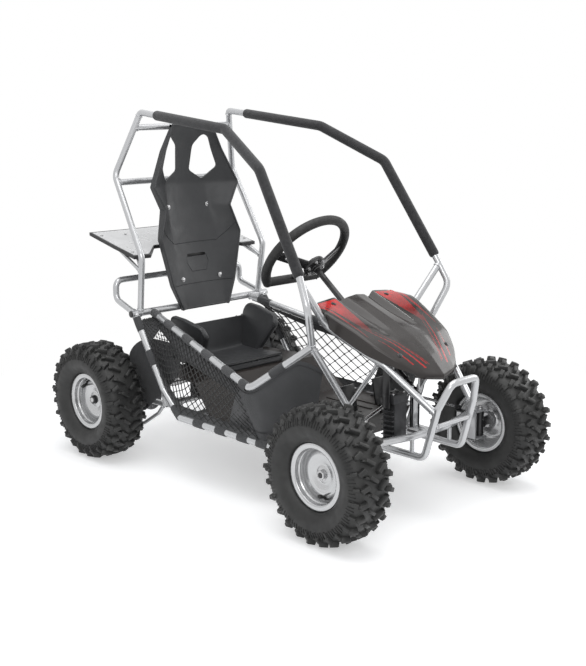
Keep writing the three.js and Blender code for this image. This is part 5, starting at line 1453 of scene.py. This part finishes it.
for label, side in SIDES:
    lines = net_lines(side)
    columns, levels, cord = (22, 16, 0.0035) if side < 0 else (13, 10, 0.0042)
    wide, rear = (0.25, 0.12) if side < 0 else (0.10, 0.02)
    bm = bmesh.new()
    middle = Vector((0, side * 0.0012, 0))
    wobble = random.Random(5 + side)
    knots = {}
    for i in range(columns + 1):
        for j in range(levels + 1):
            share = (i + 0.5 * (j % 2)) / columns
            if share <= 1:
                sag = Vector([wobble.uniform(-reach, reach) for reach in (1, 0.6, 1)]) * 0.0009
                knots[i, j] = net_place(lines, share, 0.03 + 0.94 * j / levels) + middle + sag
    for i in range(columns + 1):
        for lean in (0, -1):
            run = []
            for j in range(levels + 2):
                spot = knots.get((i + lean * (j % 2), j))
                if spot is not None:
                    run.append(spot)
                    continue
                if len(run) > 1:
                    sweep(bm, run, cord, 0, roundness=1)
                run = []
    for spot in knots.values():
        verts = bmesh.ops.create_icosphere(bm, subdivisions=1, radius=cord * 0.85)["verts"]
        bmesh.ops.translate(bm, vec=spot, verts=verts)
    strip(bm, lambda u, v: net_place(lines, (u + 1) / 2, wide * v), 60, 3, 0.0016, index=1)
    strip(bm, lambda u, v: net_place(lines, (u + 1) / 2, 1 - LOW_BORDER * v), 60, 3, 0.0016, index=1)
    strip(bm, lambda u, v: net_place(lines, rear * (u + 1) / 2, v), 6, 24, 0.0014, index=1)
    strip(bm, lambda u, v: net_place(lines, 1 - 0.018 * (u + 1) / 2, v), 2, 24, 0.0014, index=1)
    for i in range(STITCHES):
        for down in (wide * 0.88, 1 - LOW_BORDER * 0.88):
            spot = net_place(lines, (i + 0.5) / STITCHES, down) + Vector((0, side * 0.0006, 0))
            block(bm, (0.0024, 0.0024, 0.0007), spot, bevel=0, index=2)
    net = piece("side_net_cords_" + label, bm, [net_cord, strap_vinyl, cable_black], "chassis",
                ["side_net_" + label])

# %% [markdown]
# Strips of vinyl are wrapped round the tubes to carry the nets. Each wrap is a short spiral of cloth, so
# its outer edge can be seen as a small step. They sit on the rail, on the lower tube and round the bend
# at the rear.


def wrap(bm, line, start, end, radius):
    """A spiral strip round the part of a line between two shares of its length."""
    a, b = along_line(line, start), along_line(line, end)
    run = b - a
    face = towards(run)

    def place(u, v):
        angle = math.radians(200) * u + 0.6
        pull = 0.0005 * math.sin(v * math.pi) + 0.0008 * (u + 1) / 2
        flat = face @ Vector((math.cos(angle), math.sin(angle), 0)) * (radius + pull)
        return a + run * v + flat

    strip(bm, place, 40, 6, 0.0010)


def make_wraps(name, spans):
    """A piece with a wrap on each span, which is the run of a tube, the middle's share of it and a length."""
    bm, total = bmesh.new(), 0
    for run, middle, length in spans:
        half = length / (run[1] - run[0]).length / 2
        wrap(bm, run, middle - half, middle + half, CHASSIS_TUBE / 2 + 0.0006)
        total += length
    wraps = piece(name, bm, strap_vinyl, "chassis")


for label, side in SIDES:
    rail, low = share_line(RAIL, side), share_line(SIDE, side)
    places = (0.045, 0.215, 0.41, 0.61, 0.81) if side < 0 else (0.12, 0.45, 0.80)
    spans = [(rail[:2], middle, 0.050) for middle in places]
    spans += [(low[:2], middle, 0.050) for middle in (0.13, 0.58)]
    spans += [(low[1:3], 0.80, 0.046)]
    spans += [(low[2:4], middle, 0.044) for middle in (0.235, 0.49)]
    make_wraps("net_wraps_" + label, spans)

# %% [markdown]
# In front of each net a smooth vinyl panel closes the side. It is laced to the rail above, to the strut
# in front and to the frame below. A second layer folds over the lower tube, and a small tab goes round
# the rail.

for label, side in SIDES:
    rail, low, strut = share_line(RAIL, side), share_line(SIDE, side), share_line(STRUT, side)
    top = [along_run(rail, i, share) + NET_FALL for i, share in ((0, 0.9), (0, 0.97), (1, 0.14), (1, 0.78))]
    top.append(along_run(strut, 0, 0.3) + NET_FALL)
    foot = [(2, 0.56), (2, 0.8), (2, 0.97), (3, 0.55), (4, 0.1)]
    foot = [along_run(low, i, share) - NET_FALL for i, share in foot]

    def panel_place(u, v):
        across_share = (u + 1) / 2
        spot = eased(foot, across_share).lerp(eased(top, across_share), v)
        swell = 0.003 * math.sin(math.pi * v)
        crease = 0.0009 * math.sin(across_share * 31 + v * 7) * math.sin(math.pi * v) * (1 - v)
        return spot + Vector((0, side * (swell + crease), 0))

    bm = bmesh.new()
    strip(bm, panel_place, 60, 34, 0.0016)
    strip(bm, lambda u, v: panel_place(u, 0.16 * v) + Vector((0, side * 0.0014, 0)), 60, 6, 0.0012, index=1)
    strip(bm, lambda u, v: panel_place(u, 1 - 0.07 * v) + Vector((0, side * 0.0012, 0)), 60, 4, 0.0010)
    for i in range(70):
        for up in (0.145, 0.945):
            spot = panel_place(-1 + 2 * (i + 0.5) / 70, up) + Vector((0, side * 0.0022, 0))
            block(bm, (0.0026, 0.0022, 0.0007), spot, bevel=0, index=2)
    panel = piece("side_panel_vinyl_" + label, bm, [vinyl, strap_vinyl, cable_black], "chassis",
                  ["side_panel_" + label])
    make_wraps("panel_wraps_" + label, [(rail[:2], 0.955, 0.034), (rail[1:3], 0.46, 0.050),
                                        (low[2:4], 0.735, 0.044), (low[2:4], 0.94, 0.044)])

# %% [markdown]
# Behind each net a flat vinyl flap keeps mud from the rear wheel off the driver. It is cut in one piece
# and stands just inside the wheel, in front of the rear down tube, so two edge lines and a grid describe
# it. The right one reaches further forward and up than the left one. A doubled front edge and three press
# studs finish each flap.

# %% Mud flaps
FLAP_REAR = [(-0.436, 0.254, 0.140), (-0.470, 0.254, 0.200), (-0.480, 0.254, 0.262), (-0.474, 0.254, 0.308)]
FLAP_FRONTS = {
    "right": [(-0.388, 0.254, 0.158), (-0.316, 0.254, 0.216), (-0.222, 0.250, 0.298), (-0.215, 0.234, 0.388)],
    "left": [(-0.388, 0.254, 0.158), (-0.350, 0.254, 0.206), (-0.336, 0.254, 0.268), (-0.360, 0.254, 0.340)],
}

for label, side in SIDES:
    rear_edge = [Vector((x, side * out, z)) for x, out, z in FLAP_REAR]
    front_edge = [Vector((x, side * out, z)) for x, out, z in FLAP_FRONTS[label]]

    def flap_place(u, v):
        share = (u + 1) / 2
        crest = 0.052 * v ** 3 * math.sin(math.pi * share ** 0.6)
        spot = eased(rear_edge, v).lerp(eased(front_edge, v), share)
        return spot + Vector((0, side * 0.002 * math.sin(math.pi * v) * math.cos(u * 1.4), crest))

    bm = bmesh.new()
    strip(bm, flap_place, 24, 36, 0.0018)
    raised = Vector((0, side * 0.0012, 0))
    strip(bm, lambda u, v: flap_place(1 - 0.09 * (u + 1) / 2, v) + raised, 3, 36, 0.0010, index=1)
    for v in (0.12, 0.5, 0.86):
        stud = flap_place(0.78, v)
        disc(bm, 0.0070, 0.0016, stud + Vector((0, side * 0.0020, 0)), (0, side, 0), 20, 0.0005, index=2)
        disc(bm, 0.0040, 0.0020, stud + Vector((0, side * 0.0034, 0)), (0, side, 0), 16, 0.0008, index=2)
    flap = piece("mud_flap_" + label, bm, [vinyl, strap_vinyl, dark_alloy], "chassis")

# %% [markdown]
# The steering wheel has a flat bottom, so that it clears the driver's legs. Its rim is one padded ring,
# its three spokes are cut from plate and dished forwards, and six screws hold them to the hub. All of it
# is built upright round its own axis and then laid back along the steering column.

# %% Steering wheel and column
WHEEL_RADIUS = 0.140
WHEEL_FLAT = 0.098
column_foot = Vector((-math.sin(COLUMN_ANGLE), 0, -math.cos(COLUMN_ANGLE)))
wheel_frame = Matrix((column_foot, across, COLUMN_HEADING)).transposed().to_4x4()
wheel_frame = Matrix.Translation(COLUMN_TOP) @ wheel_frame


def round_z(radius, angle, z=0):
    """A place on a circle about the Z axis."""
    return Vector((radius * math.cos(angle), radius * math.sin(angle), z))


def wheel_ring():
    """The rim's middle line: an arc, and a straight run at the bottom with soft corners."""
    half_flat = math.acos(WHEEL_FLAT / WHEEL_RADIUS)
    arc = [round_z(WHEEL_RADIUS, half_flat + (2 * math.pi - 2 * half_flat) * i / 96) for i in range(97)]
    low = Vector((WHEEL_FLAT, 0, 0))
    first, last = rounded([low, arc[0], arc[3]], 0.03, 6), rounded([arc[-4], arc[-1], low], 0.03, 6)
    return first[:-1] + arc[3:-3] + last[1:]


bm = bmesh.new()
sweep(bm, wheel_ring(), 0.028, 0, roundness=7)
for centre_angle in (60, 300):
    for k in range(-5, 6):
        a = math.radians(centre_angle + k * 3.2)
        bead(bm, round_z(WHEEL_RADIUS, a), (-math.sin(a), math.cos(a), 0), 0.0262)
for angle, length in ((0, WHEEL_FLAT), (99, WHEEL_RADIUS), (-99, WHEEL_RADIUS)):
    spoke = bmesh.new()
    plate(spoke, [(0.021, 0.0425), (0.030, 0.0395), (length, -0.0035), (length, 0.0035), (0.032, 0.0465),
                  (0.021, 0.0495)], -0.014, 0.014, bevel=0.0012)
    slot = bmesh.new()
    middle = 0.034 + (length - 0.034) * 0.45
    fall = 0.043 * (1 - (middle - 0.03) / (length - 0.03))
    block(slot, ((length - 0.03) * 0.45, 0.009, 0.030), (middle, 0, fall), bevel=0.0028)
    spoke = carved(spoke, [slot])
    turn = Matrix.Rotation(math.radians(angle), 3, "Z")
    bmesh.ops.rotate(spoke, cent=(0, 0, 0), matrix=turn, verts=spoke.verts)
    merge(bm, spoke, 1)
disc(bm, 0.035, 0.014, (0, 0, 0.046), (0, 0, 1), 48, 0.0016, index=1)
disc(bm, 0.021, 0.004, (0, 0, 0.038), (0, 0, 1), 40, 0.0012, index=1)
disc(bm, 0.019, 0.007, (0, 0, 0.0555), (0, 0, 1), 40, 0.0012, index=1)
for k in range(6):
    a = math.radians(30 + 60 * k)
    bolt(bm, round_z(0.0275, a, 0.0392), (0, 0, -1), 0.007, index=2)
    bolt(bm, round_z(0.0270, a, 0.0528), (0, 0, 1), 0.008, index=2)
bmesh.ops.transform(bm, matrix=wheel_frame, verts=bm.verts)
piece("steering_wheel_rim", bm, [grip_rubber, black_paint, bright_steel], "steering", ["steering_wheel"],
      sharp=42)

bm = bmesh.new()
disc(bm, 0.009, 0.514, (0, 0, 0.303), (0, 0, 1), 32, 0.0012)
for reach in (0.060, 0.500, 0.541):
    disc(bm, 0.0125, 0.008, (0, 0, reach), (0, 0, 1), 32, 0.0010)
bead(bm, Vector((0, 0, 0.5165)), (0, 0, 1), 0.019)
arm = bmesh.new()
outline = [(0, -0.015), (0.045, -0.020), (0.051, 0), (0.045, 0.020), (0, 0.015), (-0.015, 0)]
outline = smooth_outline(outline, 0.005)
arm.faces.new([arm.verts.new((x, y, 0.517)) for x, y in outline])
slab(arm, (0, 0, 0.006))
rounded_off(arm, [e for e in arm.edges if e.calc_face_angle(0) > 1], 0.0007)
merge(bm, arm)
for side in (-1, 1):
    bolt(bm, (0.039, side * 0.014, 0.5225), (0, 0, 1), 0.008, index=1)
bmesh.ops.transform(bm, matrix=wheel_frame, verts=bm.verts)
piece("steering_shaft", bm, [black_paint, bright_steel], "steering", ["steering_column"],
      sharp=35)
print("steering done")

# %% [markdown]
# At each front corner a knuckle turns on its kingpin. The stub for the wheel sticks out from the barrel,
# an arm reaches back, and a tie rod with a ball eye at both ends joins that arm to the plate on the
# column.

# %% Knuckles and tie rods
STUB = [(0.0004, 0.0), (0.0147, 0.0), (0.0147, 0.010), (0.0136, 0.012), (0.0136, 0.0315), (0.0128, 0.0337),
        (0.0081, 0.0337), (0.0081, 0.0700), (0.0074, 0.0716), (0.0004, 0.0716)]
ARM_END_Y = 0.2904
for label, side in SIDES:
    bm = bmesh.new()
    pin = Vector((HALF_BASE, side * KINGPIN_OUT, WHEEL_HEIGHT))
    disc(bm, 0.012, 0.076, pin, (0, 0, 1), 36, 0.0012)
    for end in (-1, 1):
        disc(bm, 0.0132, 0.007, pin + Vector((0, 0, end * 0.030)), (0, 0, 1), 36, 0.0010)
    turned(bm, STUB, pin, 40, side)
    welded(bm, pin + Vector((0, side * 0.0125, 0)), across, 0.0294)
    disc(bm, 0.0142, 0.0024, pin + Vector((0, side * 0.0617, 0)), (0, side, 0), 32, 0.0005, index=1)
    disc(bm, 0.0136, 0.0080, pin + Vector((0, side * 0.0668, 0)), (0, side, 0), 6, 0.0009, index=1)
    block(bm, (0.070, 0.016, 0.006), (0.479, side * 0.290, WHEEL_HEIGHT + 0.0258), bevel=0.0014)
    disc(bm, 0.0095, 0.006, (0.4455, side * ARM_END_Y, WHEEL_HEIGHT + 0.0258), (0, 0, 1), 28, 0.0012)
    disc(bm, 0.0022, 0.006, pin + Vector((0.0125, 0, 0.012)), (1, 0, 0), 12, 0.0006, index=1)
    piece("knuckle_forging_" + label, bm, [black_paint, bright_steel], "knuckle_" + label,
          ["knuckle_" + label], sharp=40)

    far = Vector((0.445, side * ARM_END_Y, 0.2221))
    near = column_point(0.5197) + column_foot * 0.039 + Vector((0, side * 0.014, 0))
    run = (far - near).normalized()
    bm = bmesh.new()
    sweep(bm, [near + run * 0.010, far - run * 0.010], 0.0090, 0, roundness=5)
    for place, inward in ((near, run), (far, -run)):
        stand = COLUMN_HEADING if place is near else Vector((0, 0, 1))
        disc(bm, 0.0062, 0.0100, place, stand, 28, 0.0012, index=1)
        disc(bm, 0.0040, 0.0118, place, stand, 24, 0.0008, index=1)
        disc(bm, 0.0050, 0.020, place + inward * 0.016, inward, 20, 0.0006, index=1)
        disc(bm, 0.0062, 0.005, place + inward * 0.029, inward, 6, 0.0005, index=1)
    piece("tie_rod_bar_" + label, bm, [bright_steel, dark_alloy], "tie_rods", ["tie_rod_" + label],
          sharp=40)
print("front steering parts done")

# %% [markdown]
# The motor controller hangs beside the front hoop. Its case is a casting with upright cooling fins, a lid
# with a seam, and sealed sockets on top for the cables.

# %% Motor controller
bm = bmesh.new()
block(bm, (0.042, 0.050, 0.104), CONTROLLER + Vector((0, 0.004, -0.010)), bevel=0.0024)
block(bm, (0.044, 0.056, 0.026), CONTROLLER + Vector((0, 0.002, 0.051)), bevel=0.0030)
block(bm, (0.0432, 0.0525, 0.0016), CONTROLLER + Vector((0, 0.004, 0.0372)), bevel=0.0005, index=1)
for i in range(7):
    block(bm, (0.040, 0.009, 0.0034), CONTROLLER + Vector((0, -0.0255, i * 0.0135 - 0.062)))
for x in (-0.015, 0.015):
    for y in (-0.020, 0.022):
        bolt(bm, CONTROLLER + Vector((x, y, 0.0640)), (0, 0, 1), 0.005, index=2)
for x, y in ((-0.008, -0.006), (0.010, -0.006), (0.000, 0.012)):
    disc(bm, 0.0056, 0.004, CONTROLLER + Vector((x, y, 0.0640)), (0, 0, 1), 20, 0.0008, index=1)
piece("controller_case", bm, [dark_alloy, grip_rubber, bright_steel], "chassis", ["motor_controller"],
      sharp=32)
print("controller done")

# %% [markdown]
# The rear axle is live: both rear wheels, the sprocket and the brake disc are fixed to one shaft. It runs
# in two sealed bearings in the subframe's plates. All turned parts are profiles spun about the axle.

# %% Rear axle, bearings and brake
BEARING_Y = 0.238
CALIPER = Vector((-0.45405, BRAKE_Y, 0.21215))
half_race = [(0.0133, -0.008), (0.0175, -0.008), (0.0182, -0.0066), (0.0245, -0.0066), (0.0252, -0.008),
             (0.0292, -0.008), (0.0300, -0.0072)]
hub = [(0.0127, -0.012), (0.0200, -0.012), (0.0208, -0.011), (0.0208, 0.011), (0.0200, 0.012),
       (0.0127, 0.012)]


def round_y(radius, angle, y):
    """A place on a circle about the Y axis."""
    return Vector((radius * math.cos(angle), y, radius * math.sin(angle)))


bm = bmesh.new()
half_axle = [(0.0004, 0.3722), (0.0074, 0.3722), (0.0081, 0.3706), (0.0081, 0.3337), (0.0118, 0.3337),
             (0.0125, 0.3325), (0.0125, 0.2500), (0.0125, 0.2260), (0.0125, 0.1640), (0.0125, 0.0)]
turned(bm, half_axle + [(r, -out) for r, out in half_axle[-2::-1]], AXLE, 48)
for side in (-1, 1):
    disc(bm, 0.0142, 0.0024, AXLE + Vector((0, side * 0.3617, 0)), (0, side, 0), 32, 0.0005, index=1)
    disc(bm, 0.0138, 0.0080, AXLE + Vector((0, side * 0.3668, 0)), (0, side, 0), 6, 0.0009, index=1)
    disc(bm, 0.0165, 0.009, AXLE + Vector((0, side * 0.2220, 0)), (0, side, 0), 32, 0.0010, index=1)
piece("axle_shaft", bm, [bright_steel, dark_alloy], "rear_wheels", ["rear_axle"], sharp=35)

for label, side in SIDES:
    bm = bmesh.new()
    race = half_race + [(r, -out) for r, out in half_race[::-1]]
    turned(bm, race, AXLE + Vector((0, side * BEARING_Y, 0)), 56, side)
    piece("bearing_ring_" + label, bm, bright_steel, "chassis", ["axle_bearing_" + label], sharp=30)

bm = bmesh.new()
disc(bm, 0.075, 0.004, (0, BRAKE_Y, 0), sides=96, bevel=0.0005)
drill = bmesh.new()
for k in range(18):
    for row, radius in enumerate((0.050, 0.065)):
        disc(drill, 0.0032, 0.010, round_y(radius, math.pi * (k + 0.5 * row) / 9, BRAKE_Y), sides=12, bevel=0)
for k in range(6):
    disc(drill, 0.0065, 0.010, round_y(0.034, math.pi * k / 3, BRAKE_Y), sides=16, bevel=0)
bm = carved(bm, [drill])
turned(bm, hub, (0, BRAKE_Y, 0), 40)
bmesh.ops.translate(bm, vec=(AXLE.x, 0, AXLE.z), verts=bm.verts)
piece("brake_disc_plate", bm, chain_steel, "rear_wheels", ["brake_disc"], sharp=30)

bm = bmesh.new()
for end in (-1, 1):
    block(bm, (0.0440, 0.0155, 0.0490), CALIPER + Vector((0, end * 0.0120, 0)), bevel=0.0032)
    disc(bm, 0.0125, 0.004, CALIPER + Vector((0, end * 0.0190, -0.004)), (0, end, 0), 28, 0.0010)
    disc(bm, 0.0080, 0.002, CALIPER + Vector((0, end * 0.0200, -0.004)), (0, end, 0), 6, 0.0005, index=1)
for height in (-0.017, 0.017):
    disc(bm, 0.0042, 0.039, CALIPER + Vector((0.0165, 0, height)), (0, 1, 0), 20, 0.0006, index=1)
block(bm, (0.0100, 0.030, 0.040), CALIPER + Vector((0.0165, 0, 0)), bevel=0.0012)
disc(bm, 0.0028, 0.010, CALIPER + Vector((0.004, 0.012, 0.0270)), (0, 0, 1), 16, 0.0006, index=1)
piece("brake_caliper_block", bm, [dark_alloy, bright_steel], "chassis", ["brake_caliper"],
      sharp=35)
print("axle and brake done")

# %% [markdown]
# A small motor drives the axle by chain. Its body has cooling rings and a cover at each end. The chain's
# links follow the two sprockets: each link is a pair of side plates and a roller, placed by its distance
# round the loop.

# %% Motor, sprockets and chain
PITCH = 0.00635
DRIVE_Y = 0.130


def sprocket(bm, teeth, tip_radius, half, place):
    """A toothed plate about the Y axis."""
    root, outline = tip_radius - 0.0030, []
    for k in range(teeth):
        for share, radius in ((0.05, root), (0.32, tip_radius - 0.0003), (0.52, tip_radius), (0.78, root)):
            a = 2 * math.pi * (k + share) / teeth
            outline.append((place.x + radius * math.cos(a), place.z + radius * math.sin(a)))
    plate(bm, outline[::-1], place.y - half, place.y + half, bevel=0.0003)


bm = bmesh.new()
sprocket(bm, 61, 0.062, 0.0025, Vector((0, DRIVE_Y, 0)))
drill = bmesh.new()
for k in range(6):
    disc(drill, 0.0105, 0.02, round_y(0.040, math.pi * (k + 0.5) / 3, DRIVE_Y), bevel=0)
bm = carved(bm, [drill])
hub = [(0.0127, -0.010), (0.0210, -0.010), (0.0218, -0.009), (0.0218, 0.009), (0.0210, 0.010),
       (0.0127, 0.010)]
turned(bm, hub, (0, DRIVE_Y, 0), 48)
for k in range(6):
    bolt(bm, round_y(0.0275, math.pi * k / 3, DRIVE_Y + 0.0025), (0, 1, 0), 0.006, index=1)
bmesh.ops.translate(bm, vec=(AXLE.x, 0, AXLE.z), verts=bm.verts)
piece("axle_sprocket_plate", bm, [chain_steel, bright_steel], "rear_wheels", ["axle_sprocket"],
      sharp=30)

motor_axis = Vector((-0.3899, 0, 0.21505))
bm = bmesh.new()
sprocket(bm, 19, 0.019, 0.0025, Vector((motor_axis.x, DRIVE_Y, motor_axis.z)))
hub = [(0.0073, -0.0025), (0.0120, -0.0025), (0.0120, 0.0045), (0.0073, 0.0045)]
turned(bm, hub, motor_axis + across * DRIVE_Y, 48)
piece("motor_pinion_teeth", bm, chain_steel, "motor_pinion", ["motor_sprocket"], sharp=30)

bm = bmesh.new()
body = [(0.0004, 0.020), (0.038, 0.020), (0.040, 0.021), (0.040, 0.026), (0.0485, 0.030)]
for k in range(7):
    y = 0.034 + k * 0.0105
    body += [(0.0495, y), (0.0498, y + 0.0050), (0.0465, y + 0.0058), (0.0465, y + 0.0096)]
body += [(0.0485, 0.110), (0.040, 0.114), (0.040, 0.119), (0.038, 0.120), (0.0070, 0.120), (0.0070, 0.1345),
         (0.0004, 0.135)]
turned(bm, body, motor_axis, 64)
for end, y in ((-1, 0.0200), (1, 0.1200)):
    for k in range(6):
        bolt(bm, motor_axis + round_y(0.032, math.pi * (k + 0.25) / 3, y), (0, end, 0), 0.006, index=1)
for k in (-1, 0, 1):
    disc(bm, 0.0042, 0.010, motor_axis + Vector((k * 0.014, 0.026, 0.0410)), (0, 0, 1), 16, 0.0010, index=2)
piece("motor_body", bm, [dark_alloy, bright_steel, grip_rubber], "chassis", ["drive_motor"],
      sharp=28)


def chain_loop(radius_a, radius_b):
    """Points round two circles and the two straight runs between them."""
    a, b = Vector((AXLE.x, 0, AXLE.z)), motor_axis.copy()
    run = b - a
    heading = math.atan2(run.z, run.x)
    lean = math.acos((radius_a - radius_b) / run.length)
    points = []
    for centre, radius, start, end in ((a, radius_a, heading + lean, heading + 2 * math.pi - lean),
                                       (b, radius_b, heading - lean, heading + lean)):
        count = 120 if radius > 0.04 else 50
        for i in range(count + 1):
            angle = start + (end - start) * i / count
            points.append(centre + Vector((math.cos(angle), 0, math.sin(angle))) * radius)
    points.append(points[0].copy())
    return points


loop_line = chain_loop(0.0655, 0.0225)
loop_length = sum((q - p).length for p, q in zip(loop_line, loop_line[1:]))
links = round(loop_length / PITCH)
bm = bmesh.new()
spots = [along_line(loop_line, i / links) for i in range(links)]
for i, spot in enumerate(spots):
    after = spots[(i + 1) % links]
    middle, run = spot.lerp(after, 0.5), after - spot
    turn = Matrix.Rotation(-math.atan2(run.z, run.x), 3, "Y")
    gap = 0.0034 if i % 2 else 0.0026
    for end in (-1, 1):
        block(bm, (run.length + 0.0042, 0.0007, 0.0052), middle + across * (DRIVE_Y + end * gap), turn, 0)
    disc(bm, 0.0016, 0.0082, spot + across * DRIVE_Y, (0, 1, 0), 10, 0)
piece("chain_links", bm, chain_steel, "chassis", ["drive_chain"], sharp=30)
print("chain links:", links)

# %% [markdown]
# The battery is a sealed case on the floor under the seat. The two pedals hang on one pin in a small
# bracket, and each has a plate with raised grips.

# %% Battery and pedals
BATTERY_FOOT = Vector((-0.220, 0, 0.19856))
PEDAL_AXIS = Vector((0.345, 0, 0.21586))
PEDAL_Y = 0.070
bm = bmesh.new()
block(bm, (0.146, 0.296, 0.070), BATTERY_FOOT + Vector((0, 0, 0.0353)), bevel=0.004)
block(bm, (0.150, 0.300, 0.014), BATTERY_FOOT + Vector((0, 0, 0.0775)), bevel=0.003)
for side in (-1, 1):
    block(bm, (0.148, 0.018, 0.0015), BATTERY_FOOT + Vector((0, side * 0.080, 0.0852)), bevel=0.0004, index=1)
    for k in range(5):
        rib_place = BATTERY_FOOT + Vector((0, side * 0.1484, 0.012 + k * 0.012))
        block(bm, (0.110, 0.0024, 0.004), rib_place, bevel=0.0006)
piece("battery_shell", bm, [battery_case, strap_vinyl], "chassis", ["battery_box"], sharp=32)

bm = bmesh.new()
block(bm, (0.030, 0.233, 0.0020), (PEDAL_AXIS.x, 0, 0.20286), bevel=0.0005)
disc(bm, 0.005, 0.233, PEDAL_AXIS, (0, 1, 0), 24, 0.0008, index=1)
lug = [(-0.010, -0.01396), (0.010, -0.01396), (0.010, 0.010), (-0.010, 0.010)]
lug = smooth_outline([(PEDAL_AXIS.x + x, PEDAL_AXIS.z + z) for x, z in lug], 0.006)
for side in (-1, 1):
    for end in (-1, 1):
        y = side * PEDAL_Y + end * 0.035
        plate(bm, lug, y - 0.002, y + 0.002, bevel=0.0004)
    bolt(bm, (PEDAL_AXIS.x + 0.009, side * 0.020, 0.2038), (0, 0, 1), 0.007, index=1)
piece("pedal_mount", bm, [black_paint, bright_steel], "chassis", ["pedal_bracket"], sharp=35)

boss = [(0.00535, -0.031), (0.0086, -0.031), (0.0090, -0.0304), (0.0090, 0.0304), (0.0086, 0.031),
        (0.00535, 0.031)]
lean_back = Matrix.Rotation(-math.radians(12), 4, "Y")
for name, side in (("throttle_pedal", -1), ("brake_pedal", 1)):
    bm = bmesh.new()
    block(bm, (0.0064, 0.062, 0.078), (0, 0, 0.081), bevel=0.0022)
    for i in range(6):
        block(bm, (0.0020, 0.050, 0.0044), (-0.0034, 0, 0.051 + i * 0.012), bevel=0.0008, index=1)
    block(bm, (0.0066, 0.026, 0.060), (0.0004, 0, 0.030), bevel=0.0014)
    for end in (-1, 1):
        block(bm, (0.0080, 0.0030, 0.056), (0, end * 0.0140, 0.032), bevel=0.0008)
    turned(bm, boss, (0, 0, 0), 32)
    hung = Matrix.Translation(PEDAL_AXIS + Vector((0, side * PEDAL_Y, 0)))
    bmesh.ops.transform(bm, matrix=hung @ lean_back, verts=bm.verts)
    piece(name + "_plate", bm, [black_paint, grip_rubber], name, [name], sharp=35)
print("battery and pedals done")
